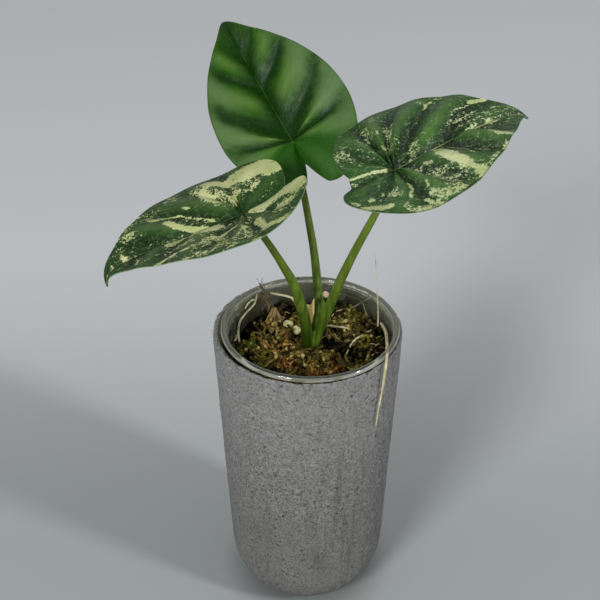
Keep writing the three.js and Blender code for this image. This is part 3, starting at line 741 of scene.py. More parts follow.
def quiltRise(leaf, phase, share, ribLength):
    # how far the blade swells, and how near each place is to a crest: halfway at the margin and at the tip
    form = bladeForm
    lobes = np.where(phase > form["firstLobeVein"], form["quiltLobes"], 1.0)
    between = np.sin(math.pi * phase) ** 2
    within = form["quiltInnerShare"]
    inner = 1 - (1 - np.minimum(share / within, 1)) ** 2
    outer = 1 - form["quiltMarginLoss"] * (np.maximum(0, share - within) / (1 - within)) ** 2
    reach = np.minimum(1, ribLength / form["quiltFullRib"])
    crease = np.exp(-((phase - np.round(phase)) / form["creaseWidth"]) ** 2)
    rise = leaf["quilt"] * lobes * between - form["crease"] * crease
    atMargin = np.clip((share - form["marginStart"]) / (1 - form["marginStart"]), 0, 1) ** 2
    even = np.maximum(atMargin * 0.8, 1 - reach)
    return inner * outer * reach * rise, between * inner * (1 - even) + 0.5 * even


def creamField(look, u, v):
    # marks lie over one another in order; in the lobes a mark keeps to its own side of the notch
    field = np.full_like(u, look["base"])
    spots = np.stack([u, v], axis=1)
    for mark in look["marks"]:
        reach, amount, *line = np.array(mark) / 100
        line = np.reshape(line, (-1, 2))
        away = np.full_like(u, np.inf)
        for start, end in zip(line, line[1:] if len(line) > 1 else line):
            span = end - start
            share = np.clip((spots - start) @ span / max(span @ span, 1e-9), 0, 1)
            away = np.minimum(away, np.linalg.norm(spots - start - share[:, None] * span, axis=1))
        across = (u < -0.04) & (v * line[:, 1].sum() < 0)
        cover = np.where(across, 0, np.clip(1.6 - away / reach, 0, 1))
        field += (amount - field) * cover * cover * (3 - 2 * cover)
    return field


def bladeNet(leaf):
    # both halves as one net without doubles: what each place carries, and the places row by row
    halves = np.array([ribNet(leaf, side) for side in (0, 1)])
    flat = halves.reshape(-1, 5)
    way = np.repeat([1, -1], len(flat) // 2)
    signed = way * flat[:, 1]
    keys = np.round(np.stack([flat[:, 0], signed], axis=1), 6) + 0.0
    _, first, shared = np.unique(keys, axis=0, return_index=True, return_inverse=True)
    return flat[first, 0], signed[first], *flat[first, 2:].T, way[first], shared.reshape(halves.shape[:3])


def netNormals(points, quads, up):
    spans = (points[quads[:, 2]] - points[quads[:, 0]], points[quads[:, 3]] - points[quads[:, 1]])
    faceNormals = np.cross(*spans)
    normals = np.zeros_like(points)
    for corner in range(4):
        np.add.at(normals, quads[:, corner], faceNormals)
    normals /= np.maximum(np.linalg.norm(normals, axis=1), 1e-15)[:, None]
    turned = (normals @ up).mean() < 0
    return normals * (-1 if turned else 1), turned


def bladePiece(name, leaf, slot):
    u, v, phase, share, ribLength, way, index = bladeNet(leaf)
    middle = bladePoints(leaf, u, v)
    count = len(middle)
    quads = []
    for net, order in zip(index, ((0, 3, 2, 1), (0, 1, 2, 3))):
        corners = (net[:-1, :-1], net[:-1, 1:], net[1:, 1:], net[1:, :-1])
        quads.append(np.stack([corners[k].ravel() for k in order], axis=1))
    quads = np.concatenate(quads)
    normals, turned = netNormals(middle, quads, bladeAxes(leaf)[2])
    swell, bulge = quiltRise(leaf, phase, share, ribLength)
    half = bladeForm["thickness"] / 2
    outward = np.abs(v) * leaf["length"] * mm
    ridge = bladeForm["midribRise"] * np.exp(-(outward / bladeForm["midribHalfWidth"]) ** 2)
    ridge *= 1 - bladeForm["midribTaper"] * np.minimum(np.abs(u), 1)
    top = middle + normals * (swell + half)[:, None]
    under = middle + normals * (swell - half - ridge)[:, None]
    step = -1 if turned else 1
    faces = [list(dict.fromkeys(corners))[::step] for corners in quads.tolist()]
    faces = [face for face in faces if len(face) > 2]
    backs = [[k + count for k in face[::-1]] for face in faces]
    margin = [*index[0, :, -1].tolist(), *index[1, 1:-1, -1][::-1].tolist()][::step]
    strip = [(a, a + count, b + count, b) for a, b in zip(margin, margin[1:] + margin[:1])]
    along = share * ribLength * leaf["length"] * mm * way
    mesh = meshOf(name, np.concatenate([top, under]), faces + backs + strip, {
        "bulge": np.tile(bulge, 2),
        "cream": np.tile(creamField(leaf["look"], u, v), 2),
        "fromMidrib": np.tile(outward, 2),
        "veinPlace": np.tile(np.stack([phase * veinGap, along, np.zeros_like(along)], axis=1), (2, 1)),
        "underside": np.repeat([0.0, 1.0], count),
    })
    piece = linkPiece(name, mesh, leafMaterial(name + "Skin", leaf["look"]))
    settle(piece, slot, "blade_" + name.removeprefix("leaf").lower())
    print("blade", name, len(mesh.polygons))


# noises on the blades: waves per metre, detail, roughness and distortion
leafNoise = {
    "blush": (70, 2), "dapple": (190, 3), "mottle": (900, 3, 0.65), "wear": (240, 4, 0.6),
    "wrinkles": (420, 3, 0.6, 0.5), "streaks": (380, 4, 0.62, 0.6), "flecks": (1000, 5, 0.7, 0.4),
    "greys": (700, 5, 0.7),
}
# a mark gives its reach, how creamy it is and the places of its line, along the midrib and out from it to
# the left, all in hundredths
greenLook = {
    "vein": tone(8, 44, 0), "body": tone(38, 78, 8), "crest": tone(78, 110, 46), "speckle": 0.16,
    "outer": tone(86, 110, 70), "sheenShow": 0.65,
    "veinEnd": 0.52, "crestStart": 0.38, "midrib": tone(52, 92, 30), "midribWidth": 0.5 * mm,
    "midribShow": 0.3,
    "shadeReach": 10 * mm, "shadeShow": 0.9, "lobe": tone(38, 86, 14), "lobeLightShow": 0.7,
    "under": tone(96, 128, 84), "gloss": 0.36, "shine": 0.15, "wrinkle": 0.6, "wrinkleDepth": 0.7 * mm,
    "base": 0, "marks": [],
}
marbledLook = {
    "vein": tone(8, 36, 0), "body": tone(28, 60, 10), "crest": tone(66, 92, 46), "speckle": 0.2,
    "outer": tone(70, 90, 58), "sheenShow": 0.25,
    "veinEnd": 0.6, "crestStart": 0.55, "shadeReach": 4 * mm, "shadeShow": 0.5, "lobe": tone(30, 66, 16),
    "lobeLightShow": 0.5, "under": tone(104, 132, 92), "grey": tone(80, 98, 62), "cream": tone(190, 194, 140),
    "creamShade": tone(164, 172, 112), "streakGain": 1.2, "fleckGain": 1.9, "greyShow": 0.55,
}
leftLook = marbledLook | {
    "midrib": tone(96, 116, 76), "midribWidth": 0.45 * mm, "midribShow": 0.2, "gloss": 0.42, "shine": 0.2,
    "wrinkle": 0.5, "wrinkleDepth": 0.7 * mm, "base": -0.24,
    "marks": [
        (8, 32, -37, -18, -30, -26, -21, -33, -11, -35),
        (5, 30, -11, -35, -3, -34, 4, -36, 11, -40, 18, -43), (3.5, 24, 18, -43, 17, -29, 14, -22),
        (2, 20, -3, -19, 2, -15, 3, -2), (1.6, 16, 14, -12, 8, -2), (4.5, -2, -22, -20, -13, -19, -3, -23),
        (6, -34, -34, -6, -26, -9, -16, -7, -7, -3, 1, -2),
        (3, -3, 11, -33, 9, -27, 7, -22, 6, -12, 11, -17), (4, -34, 36, -28, 26, -19, 19, -13, 12, -3),
        (7, 32, -42, 23, -36, 12, -27, 7, -18, 7, -9, 9),
        (3.5, -4, -40, 30, -34, 27, -28, 29, -21, 27, -17, 31),
        (2.5, 20, -20, 51, -13, 48, -5, 46, -4, 31), (3, -30, -3, 11, -8, 22),
        (2.2, 30, 46, -15, 42, -9, 36, -4, 28, -1, 19, 5), (3.5, 30, 19, 10, 26, 12, 32, 11, 35, 12),
        (1.6, 20, 8, 23, 15, 25, 20, 28), (1.4, 18, 5, 34, 9, 39, 13, 43), (1, 14, 0, 25, 3, 27),
        (2.2, 24, 41, 5, 46, 5, 51, 9), (1.5, 18, 37, 32, 42, 33, 46, 33), (3, 6, 25, 39, 32, 46, 38, 50),
        (2, 22, 14, 51, 17, 52, 21, 53), (2, 22, 51, 32, 57, 33, 63, 35),
        (0.8, 16, 37, 43, 42, 47, 47, 46), (2.5, 2, 27, 24, 21, 37), (1.4, 18, 79, -6, 79, 0),
        (1.2, 16, 88, -1), (1.2, 14, 72, 8, 73, 20), (1, 20, 63, -14), (1.4, 16, 69, -20),
        (0.8, 20, 56, -9), (1.6, 18, 41, -40, 39, -41), (1, 16, 36, -37), (1.2, 18, 33, -25, 30, -22),
        (1, 12, 46, -33), (1.2, 10, 72, -25, 64, -27, 58, -26, 50, -23, 46, -22),
        (0.9, 7, 46, -22, 38, -20, 32, -15, 25, -9, 19, -4), (5, -10, 20, -42, 27, -42, 33, -43),
        (6, -10, 42, 19, 35, 20, 31, 34, 23, 49, 7, 46, -1, 52), (4, -12, 79, -15, 65, -26, 50, -33),
        (5, -36, 61, -23, 59, -15, 52, -8), (4, -34, 75, -7, 63, -7, 57, -2),
    ],
}
rightLook = marbledLook | {
    "midrib": tone(150, 158, 108), "midribWidth": 0.42 * mm, "midribShow": 0.7, "gloss": 0.29, "shine": 0.4,
    "wrinkle": 1, "wrinkleDepth": 1.3 * mm, "base": -0.34, "vein": tone(4, 26, 0), "body": tone(30, 70, 8),
    "crest": tone(66, 104, 36), "grey": tone(100, 124, 80), "cream": tone(186, 192, 142),
    "creamShade": tone(156, 166, 112),
    "marks": [
        (1, 15, 42, 34, 45, 37, 50, 38), (0.8, 14, 53, 39, 56, 37), (1.8, 28, 69, 22, 73, 21, 77, 20),
        (0.6, 10, 52, 19, 60, 20, 66, 20), (1.8, 20, 69, 5, 68, 2, 71, -2, 73, -3),
        (1.2, 14, 62, 3, 59, 2, 54, 1), (7, -17, 54, 12, 72, 9, 85, 0), (6, -17, 1, 38, -4, 31),
        (4, -14, 11, 47), (0.8, 16, 7, 31, 6, 29), (1, 18, -1, 30), (1.2, 18, -17, 14),
        (1, -18, -25, 35, -27, 25, -27, 15), (3.5, -13, 5, 14, 11, 27, 17, 34),
        (3, -13, 16, 5, 22, 9, 27, 11), (5, -20, -20, 30, -16, 20),
        (0.85, 27, -29, 7, -19, 6, -13, 5, -7, 3, -2, 1),
        (3.5, 30, 27, -10, 27, -19, 29, -28, 32, -36, 32, -43, 36, -50), (2.5, 24, 36, -51, 40, -49),
        (1.4, 16, 16, -2, 19, -5), (1.4, 14, 5, -6, 6, -13, 9, -18), (1.6, 14, 14, -16, 17, -20),
        (1.4, 18, 8, -26, 10, -32, 13, -38), (0.8, 18, 5, -29), (1, 16, -3, -26, -4, -33, -9, -40),
        (1, 10, 5, -37, 4, -40), (0.8, 18, -19, -22, -21, -26), (1.6, 20, -40, -22, -38, -26),
        (2, 24, -38, -32, -32, -35, -28, -39, -23, -40), (1.4, 10, -28, -26, -30, -26), (5, -6, -14, -31),
        (3, -1, -15, -46, -11, -52, -4, -55, 3, -55), (1.4, 20, -3, -47, 0, -54, 2, -57),
        (3, 3, 4, -47, 8, -53, 13, -49, 18, -51, 14, -56), (1.6, 12, 19, -49, 21, -54),
        (0.8, 14, 40, -29, 41, -33), (0.6, 18, 38, -42, 41, -43), (0.5, 20, 36, -9, 38, -18, 41, -25),
        (0.4, 10, 44, -26, 50, -34), (0.6, 18, 52, -18), (1.8, 28, 60, -19, 62, -26, 67, -29),
        (1.5, 5, 51, -41, 45, -46, 40, -50), (1.2, 5, 62, -36, 57, -39), (0.6, 14, 91, 1, 95, 0),
        (6, -10, 10, -22, 18, -37, 26, -47), (6, -36, -35, -11, -24, -14, -18, -17),
        (5, -36, -4, 9, 0, -9, 1, -22),
    ],
}
for leafName, look, slot in (("back", greenLook, "leaf_green"), ("left", leftLook, "leaf_marbled"),
                             ("right", rightLook, "leaf_marbled")):
    leaves[leafName]["look"] = look
    bladePiece("leaf" + leafName.capitalize(), leaves[leafName], slot)


# stems, roots and the twig: tubes that a tree draws along a path
def smoothPath(points, step):
    fine = []
    for i in range(len(points) - 1):
        count = max(2, round(math.dist(points[i], points[i + 1]) * mm / step))
        fine += [curvePoint(points, i + k / count) * mm for k in range(count)]
    return np.array(fine + [np.array(points[-1], float) * mm])


def pathMesh(strands):
    # strands: smooth points, a radius list spread over them and the step between points
    points, edges, radii, runs = [], [], [], []
    for path, radiusList, step in strands:
        fine = smoothPath(path, step)
        share = np.linspace(0, len(radiusList) - 1, len(fine))
        start = len(points)
        points += list(fine)
        radii += list(np.interp(share, np.arange(len(radiusList)), radiusList) * mm)
        runs += list(np.linspace(0, 1, len(fine)))
        edges += [(k, k + 1) for k in range(start, len(points) - 1)]
    return meshOf("path", points, [], {"radius": radii, "run": runs}, edges)


def tubeTree():
    tree, given = newTree("tubeAlongPath", ["Waver", "Waver Size"], {"Sides": "Int"})
    curve = addNode(tree, "GeometryNodeMeshToCurve", {0: given["Geometry"]})
    radius = addNode(tree, "GeometryNodeInputNamedAttribute", {"Name": "radius"}, data_type="FLOAT")
    circle = addNode(tree, "GeometryNodeCurvePrimitiveCircle", {"Resolution": given["Sides"], "Radius": 1.0})
    tube = addNode(tree, "GeometryNodeCurveToMesh", {
        "Curve": curve, "Profile Curve": circle, "Scale": radius, "Fill Caps": True})
    place = addNode(tree, "GeometryNodeInputPosition")
    bumps = noiseOn(place, over(1.0, given["Waver Size"]), 2, 0.5)
    return endTree(pushedOut(tube, times(minus(bumps, 0.5), given["Waver"])), given["Material"])


def tubePiece(name, paths, form, paint):
    if isinstance(paths, list):
        paths = pathMesh([(*path, form["step"]) for path in paths])
    waver, waverSize = form["waver"]
    return grownPiece(name, paths, tubeAlongPath, {
        "Sides": form["sides"], "Waver": waver, "Waver Size": waverSize, "Material": paint})


tubeAlongPath = tubeTree()
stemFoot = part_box("stem_back")[0].z / mm
stemLook = {"foot": tone(40, 66, 0), "top": tone(92, 112, 34), "streak": tone(104, 126, 46),
            "shaded": tone(24, 44, 0), "streaks": (700, 3, 0.6)}
stems = {
    "back": {
        "path": [(1.4, -1, stemFoot), (2.4, -0.9, 126.5), (3.8, -0.3, 133.5), (4.4, 1.6, 140.2),
                 (4.1, 4.4, 146.2), (3.6, 7, 152.2), (2.4, 10.7, 162.5), (0.5, 14.3, 173.3),
                 (-1.4, 17.9, 183), (-3.6, 21.8, 192.6)],
        "radius": [0.9, 1.7, 1.9, 1.9, 1.75, 1.6, 1.5, 1.4, 1.3, 1.2, 1.3],
    },
    "left": {
        "path": [(0.7, -2.2, stemFoot), (-0.3, -2.7, 126.3), (-0.6, -3.4, 135), (-1.8, -4.8, 143.7),
                 (-3.5, -6.8, 151.8), (-5.6, -9.2, 160.5), (-8.4, -11.5, 168), (-12.4, -14.8, 177.9),
                 (-16.1, -18, 186.5), (-19.4, -20.5, 192.8)],
        "radius": [0.9, 2.1, 2.3, 2.2, 2.05, 1.85, 1.6, 1.4, 1.3, 1.25, 1.4],
    },
    "right": {
        "path": [(1.3, -2.4, stemFoot), (2.9, -2.7, 126.3), (4.6, -2.8, 132.6), (6.5, -3, 138.8),
                 (8.5, -3.2, 145.3), (10.7, -4.1, 153), (13.2, -5.1, 160.8), (16.6, -6.6, 170.7),
                 (19.6, -7.9, 178.8), (24.9, -10.4, 192.8), (27.8, -12.5, 202.9)],
        "radius": [0.9, 1.7, 1.9, 1.95, 1.95, 1.8, 1.65, 1.55, 1.45, 1.35, 1.25, 1.4],
    },
}
stemTube = {"step": 1.2 * mm, "sides": 28, "waver": (0.16 * mm, 5 * mm), "sunken": 0.6}
greenStem = stemMaterial()
for stemName, stem in stems.items():
    leaf = leaves[stemName]
    # the stem ends a little inside the underside of its blade
    depth = bladeForm["midribRise"] / mm * stemTube["sunken"]
    top = np.array(leaf["stemTop"]) - bladeAxes(leaf)[2] * depth
    path = (stem["path"] + [tuple(top)], stem["radius"])
    piece = tubePiece("stem" + stemName.capitalize(), [path], stemTube, greenStem)
    settle(piece, "stem", "stem_" + stemName)

# the stems wrap each other at the foot: a web fills each valley between two of them and fades upwards
webForm = {"levels": 34, "sides": 32, "flat": 1.6, "thinning": 0.92, "inset": 0.96, "plump": 0.4}
webs = [
    {"pair": ("back", "right"), "bottom": 120.5 * mm, "top": 148.5 * mm, "valley": 0.88, "thick": 1.9 * mm},
    {"pair": ("left", "back"), "bottom": 120.5 * mm, "top": 138.5 * mm, "valley": 0.85, "thick": 1.7 * mm},
    {"pair": ("left", "right"), "bottom": 119.8 * mm, "top": 134 * mm, "valley": 0.88, "thick": 1.7 * mm},
]
stemLines = {name: smoothPath(stem["path"], 0.5 * mm) for name, stem in stems.items()}


def stemCentre(name, height):
    path = stemLines[name]
    return np.array([np.interp(height, path[:, 2], path[:, axis]) for axis in (0, 1)])


def webMesh(web):
    levels, sides = webForm["levels"], webForm["sides"]
    points = []
    for share in np.linspace(0, 1, levels):
        reach = web["thick"] * (1 - webForm["thinning"] * share ** 1.5) * min(1, 0.45 + 2.2 * share)
        for angle in np.linspace(0, 2 * math.pi, sides, endpoint=False):
            along = max(-1, min(1, webForm["flat"] * math.cos(angle)))
            climb = web["valley"] + (1 - web["valley"]) * along * along
            height = web["bottom"] + (web["top"] - web["bottom"]) * share * climb
            first, second = (stemCentre(name, height) for name in web["pair"])
            half = (second - first) / 2
            ahead = half / max(np.linalg.norm(half), 1e-6)
            aside = np.array([-ahead[1], ahead[0]])
            at = (first + second) / 2 + half * along * webForm["inset"]
            at = at + reach * (webForm["plump"] * ahead * math.cos(angle) + aside * math.sin(angle))
            points.append((*at, height))
    caps = [range(sides)[::-1], range((levels - 1) * sides, levels * sides)]
    return meshOf("stemWeb", points, ringQuads(levels, sides) + caps)


for i, web in enumerate(webs, 1):
    settle(linkPiece("stemWeb" + str(i), webMesh(web), greenStem), "stem")
print("stems and webs", len(stems) + len(webs))

# the roots, with points in millimetres and radii that are spread over each path
rootTube = {"step": 0.8 * mm, "sides": 10, "waver": (0.35 * mm, 2.2 * mm)}
roots = {
    "overTheRim": (
        [(3, 0, 112), (15, 6, 116), (25, 10, 119), (29.2, 10.8, 123.5), (30.1, 9.4, 127.8),
         (30.8, 5.5, 129.2), (31.3, 0.9, 130.4), (31.5, -3.8, 131.4), (31.2, -9.2, 132.8),
         (31, -13.4, 134.5), (30.7, -17.5, 135), (30.4, -22, 135.2), (30, -25.4, 133.7),
         (29.7, -26.2, 131), (29.4, -26.4, 127.8), (28.9, -26.4, 121.9), (27.7, -26.5, 112),
         (27.1, -26.6, 104.5)],
        [0.6, 0.62, 0.66, 0.6, 0.5, 0.22]),
    "upright": (
        [(3, 0, 113), (14, 3, 117), (25, 6.5, 118.5), (28.3, 7.8, 122), (28.7, 8, 128), (28.6, 8, 134),
         (28.2, 8, 141), (27.6, 8, 150), (27, 8, 157), (26.2, 8, 163.6)],
        [0.6, 0.6, 0.5, 0.25, 0.15, 0.06]),
    "leftWall": (
        [(2, 0, 112), (-10, 2, 115), (-22, 4, 116.5), (-26.8, 5.2, 119.5), (-28.3, 6.2, 123.6),
         (-27.8, 9.8, 128), (-25.4, 15, 129.1), (-22, 19.5, 130.6), (-20.8, 20.8, 134.6)],
        [0.6, 0.6, 0.5, 0.5, 0.35]),
    "leftBranch": (
        [(-21.5, 20, 132), (-22.6, 19.2, 133), (-24.6, 16.8, 132.5), (-25.6, 15.2, 131.3)],
        [0.45, 0.3]),
    "back": (
        [(3, 0, 113), (1, 13, 117), (-2, 25, 118.5), (-4.2, 27, 123.5), (-5.6, 27.4, 127.2),
         (-7.6, 28, 128.4), (-11, 28, 129.3), (-15.4, 26.4, 131.4)],
        [0.6, 0.6, 0.55, 0.5]),
    "short": (
        [(3, 3, 115), (4.4, 8.6, 121), (5.6, 9.8, 125.8), (8.1, 10.1, 126.4), (11.3, 9.2, 126.6),
         (15.9, 9.2, 126), (18.5, 10, 123.5)],
        [0.5, 0.5, 0.45, 0.35]),
    "backWall": (
        [(3, 1, 114), (7, 12, 120), (10.5, 17.2, 126.8), (14.3, 19.5, 127.8), (19.4, 20, 129.1),
         (22.9, 18.8, 132.4), (26, 15.6, 136.8)],
        [0.45, 0.4, 0.3, 0.22, 0.15, 0.12]),
    "backArc": (
        [(11, 28.4, 127.5), (14.2, 28.5, 129.6), (18, 27, 129.4), (22.4, 24, 129.6), (24.4, 17.4, 127.4),
         (27.6, 13, 124)],
        [0.24, 0.17, 0.13, 0.13]),
    "right": (
        [(28.7, 8, 126), (25, 5.4, 126.8), (22, 3.2, 126.6), (18.4, 0.1, 125.6), (15.6, -2.4, 121)],
        [0.5, 0.45, 0.3]),
}
creamRoot = fibreMaterial("creamRoot", tone(206, 200, 164), tone(162, 152, 112), 500)
piece = tubePiece("roots", list(roots.values()), rootTube, creamRoot)
settle(piece, "root", "crown_and_roots")
print("roots", len(piece.data.polygons))

# the twig, the dried sheath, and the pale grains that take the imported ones' places
twig = {
    "path": [(-13.4, 16.8, 123), (-14, 18, 128), (-15.2, 20.4, 131.2), (-17.2, 23.6, 133.6),
             (-20, 27.2, 135.8)],
    "radius": [0.3, 0.42, 0.35, 0.3], "step": 0.5 * mm, "sides": 8, "waver": (0.3 * mm, 1.5 * mm),
}
darkTwig = fibreMaterial("darkTwig", tone(84, 66, 44), tone(40, 31, 20), 700)
settle(tubePiece("twig", [(twig["path"], twig["radius"])], twig, darkTwig), "twig", "dry_twig")
# the sheath's own straw colour, lightened as painted light against the shade of the stems over it
repaint("dried_sheath", fibreMaterial("driedSheath", tone(232, 214, 150), tone(190, 168, 100), 420))


def lumpTree():
    tree, given = newTree("lumpyGrain", ["Radius", "Lump Size", "Depth"], {"Centre": "Vector"})
    ball = addNode(tree, "GeometryNodeMeshIcoSphere", {"Radius": given["Radius"], "Subdivisions": 5})
    seen = vectorMaths("ADD", addNode(tree, "GeometryNodeInputPosition"), {1: given["Centre"]})
    fineness = over(1.0, given["Lump Size"])
    cells = addNode(tree, "ShaderNodeTexVoronoi", {"Vector": seen, "Scale": fineness})
    lumps = minus(noiseOn(seen, times(fineness, 1.4), 4, 0.6), 0.5)
    level = times(minus(lumps, times(cells, 0.6)), given["Depth"])
    return endTree(pushedOut(ball, level, given["Centre"]), given["Material"])


lumpyGrain = lumpTree()
perlitePaint = fibreMaterial("perlite", tone(202, 198, 148), tone(160, 152, 102), 500, 0.9, (1, 1, 1))
pinkPaint = fibreMaterial("pinkPerlite", tone(206, 184, 160), tone(164, 140, 112), 500, 0.9, (1, 1, 1))
grainForm = {"Lump Size": 3 * mm, "Depth": 0.9 * mm}
grains = {
    "front": ((-4.7, 8.4, 125.4), 2.2, perlitePaint),
    "left": ((-7.9, 11, 126.3), 2.2, perlitePaint),
    "back": ((7.7, 27, 130.2), 1.75, pinkPaint),
}
for name, (centre, radius, paint) in grains.items():
    values = grainForm | {"Radius": radius * mm, "Centre": Vector(centre) * mm, "Material": paint}
    piece = grownPiece("grain" + name.capitalize(), bpy.data.meshes.new("blank"), lumpyGrain, values)
    settle(piece, "perlite", "perlite_" + name)
print("twig and grains", 1 + len(grains))

# scraps that lie on the moss: bark hairs, a tuft, curls and shreds
scrapLook = {"dark": tone(70, 52, 30), "tan": tone(136, 112, 62), "pale": tone(162, 150, 110)}
scraps = {
    "curl": [
        ([(-15.3, 4.9, 124.6), (-14.1, 7.6, 126), (-12.5, 6.9, 126.4), (-12.8, 3.5, 125.4),
          (-14.4, 2.1, 124.6)], [0.45, 0.5, 0.3]),
    ],
    "rightCurl": [
        ([(29.5, 3.5, 124.4), (30, 0.1, 126), (27.5, -2.6, 125.6), (25, -4.6, 124)], [0.25, 0.3, 0.2]),
        ([(28.4, -2, 125.4), (25.4, -1.2, 125.6), (22.6, -2.4, 124)], [0.25, 0.15]),
    ],
    "frontShreds": [
        ([(-15.5, -14.1, 123.4), (-13.5, -11.6, 125), (-11.7, -9.6, 124.6)], [0.2, 0.45, 0.3]),
        ([(-7.3, -17.8, 123.6), (-6.9, -15, 125), (-6.1, -12.2, 124.6)], [0.2, 0.4, 0.25]),
        ([(2.2, -12.4, 125), (2.6, -14.2, 126), (2.1, -16.4, 125.4), (1.3, -20.1, 124)],
         [0.7, 0.8, 0.4, 0.2]),
        ([(3, -14.6, 125.6), (4, -16.6, 125), (5.4, -18.4, 124)], [0.5, 0.3, 0.2]),
    ],
    "rightSliver": [
        ([(24.3, -11.1, 124), (26, -9.1, 125.4), (28.4, -6.6, 125.2)], [0.3, 0.75, 0.3]),
        ([(22.7, -13.4, 123.4), (19.8, -14, 124.6), (16.5, -15.8, 124)], [0.25, 0.4, 0.2]),
    ],
    "leftShred": [
        ([(-29.6, 4.2, 123), (-29.2, 5.6, 124.6), (-28.8, 3.4, 125)], [0.5, 0.6, 0.3]),
    ],
}
scrapForm = {
    "step": 0.7 * mm, "sides": 6, "waver": (0.5 * mm, 1.6 * mm), "tint": 0.9, "seed": 11, "tuft": 70,
    "hairs": 60, "total": 210, "tuftFoot": (-13.6, 17.6, 129.4), "middle": (1, -1.5), "spread": 27,
    "threadHeights": (123, 126),
}


def scrapStrands():
    form = scrapForm
    strands = [(path, radii, form["step"]) for group in scraps.values() for path, radii in group]
    tints = [form["tint"]] * len(strands)
    draw = np.random.default_rng(form["seed"])

    def within(*reach):
        return draw.uniform(-1, 1, 3) * reach

    def lay(start, bend, end, radii, step, low, high):
        strands.append(([tuple(start), tuple(start + bend), tuple(start + end)], radii, step * mm))
        tints.append(draw.uniform(low, high))

    for _ in range(form["tuft"]):
        # the tuft: stiff hairs that spread downwards from the twig like a brush
        start = form["tuftFoot"] + within(1, 0.8, 0.5)
        lean = within(3.6, 1.6, 1) + (0.4, -2.4, -4.8)
        lay(start, lean * 0.5 + (0, -0.5, 0.6), lean, [0.18, 0.3, 0.16], 0.9, 0.1, 0.7)
    for _ in range(form["hairs"]):
        # fine brown hairs around the twig
        share = draw.uniform(0.15, 1)
        start = np.array(twig["path"][0]) * (1 - share) + np.array(twig["path"][-1]) * share
        lean = within(3.2, 2, 3.2)
        lay(start, lean * 0.6 + draw.uniform(-0.6, 0.6, 3), lean, [0.11, 0.08, 0.05], 0.9, 0.05, 0.5)
    while len(strands) < form["total"]:
        # fine threads that curl over the moss
        turn, away = draw.uniform(0, 2 * math.pi), form["spread"] * math.sqrt(draw.uniform(0.01, 1))
        at = (form["middle"][0] + away * math.cos(turn), form["middle"][1] + away * math.sin(turn))
        start = np.array([*at, draw.uniform(*form["threadHeights"])])
        bend = within(3, 3, 0.8) + (0, 0, 0.8)
        lay(start, bend, bend + within(2.4, 2.4, 1.2), [0.12, 0.2, 0.1], 0.8, 0.05, 0.6)
    return strands, tints


def scrapMaterial():
    material, tree, shader = newMaterial("scraps")
    shade = carried(tree, "tint")
    layers = [(shade, 0.1, 0.5, scrapLook["tan"]), (shade, 0.6, 0.9, scrapLook["pale"])]
    body = layered(scrapLook["dark"], layers)
    plugIn(shader, {"Base Color": body, "Roughness": 0.75})
    return material


scrapPaths, scrapTints = scrapStrands()
scrapMesh = pathMesh(scrapPaths)
runs = np.zeros(len(scrapMesh.vertices))
scrapMesh.attributes["run"].data.foreach_get("value", runs)
storeOn(scrapMesh, "tint", np.array(scrapTints)[np.cumsum(runs == 0) - 1])
settle(tubePiece("scraps", scrapMesh, scrapForm, scrapMaterial()), "moss")
print("scraps", len(scrapPaths))


# the moss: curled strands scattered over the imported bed
mossTones = {
    "rust": tone(140, 92, 40), "tan": tone(158, 126, 64), "straw": tone(180, 164, 90),
    "olive": tone(126, 114, 40), "green": tone(84, 92, 24), "brown": tone(112, 80, 30),
}
# the hollow tone is painted shade for the gaps among the strands
mossLook = {"hollowShade": tone(10, 8, 2), "dark": tone(52, 44, 12), "between": tone(86, 74, 24),
            "tip": tone(222, 206, 128), "shadeSpots": (620, 4, 0.7), "ground": (500, 4, 0.7)}
moss = {
    "density": 420000.0,
    "strands": 14,
    "strandLength": 11 * mm,
    "knot": 1.05 * mm,
    "leaflet": 2 * mm,
    "leafletsPerStrand": 13,
    "wallClearance": 0.8 * mm,
    "clump": 2.2 * mm,
    "waves": (5 * mm, 11 * mm),
    "waveCount": 11,
    "curlSteps": 11,
    "lengths": (0.75, 1.2),
    "curls": (1.2, 3.6),
    "lifts": (-0.1, 0.9),
    "knots": 7,
    "scatter": {"Smallest": 0.65, "Largest": 1.4, "Tilt": 0.7},
    "level": 124 * mm,
    "bedFoot": 112 * mm,
    "sparse": 0.45,
    "upperFaces": 0.3,
    "doubles": 0.01 * mm,
    "cuts": 2,
    "slimKnot": 0.72,
    "leafletTurn": 2.4,
    "seed": 5,
    "holes": [(-25, 7, 5), (11, 1.5, 5), (19.7, -7.4, 5), (-3.2, -12.4, 2.6), (-11, -10.8, 2.8),
              (-20, 19, 4), (1.6, -4.6, 2.4), (-6, 24, 4), (5, 4, 4)],
    "clumps": [
        (-7.5, -3.2, 5, 2.2, "rust"), (-1.9, -7.4, 3, 1.2, "straw"), (5.4, -9, 3.6, 1.2, "straw"),
        (10.4, -9.8, 3.6, 1.8, "rust"), (-16, -4.5, 4.5, 2.2, "tan"), (-23.5, -2, 5, 1.6, "green"),
        (-9.5, 3.5, 4, 1.6, "tan"), (14, 10.5, 7, 1.6, "straw"), (18.5, 17, 6, 0.4, "olive"),
        (-8.5, -15, 5, 1.6, "rust"), (24.5, -12.5, 3.5, 1, "green"), (-17, -12, 5, 1.6, "olive"),
        (1, -17.5, 4.5, 1, "brown"), (10, -17.5, 4.5, 1.6, "rust"), (18, -15.5, 4, 1, "olive"),
        (24, 1, 5, 0.6, "olive"), (-14.5, 12.5, 4.5, 1.4, "tan"), (-3, 18, 5, 0.8, "olive"),
        (-27.5, -7, 4, 1, "green"), (-19, 5, 4, 1.2, "olive"), (4, -24, 5, 0.8, "rust"),
        (-8, -24, 5, 0.8, "olive"),
    ],
}


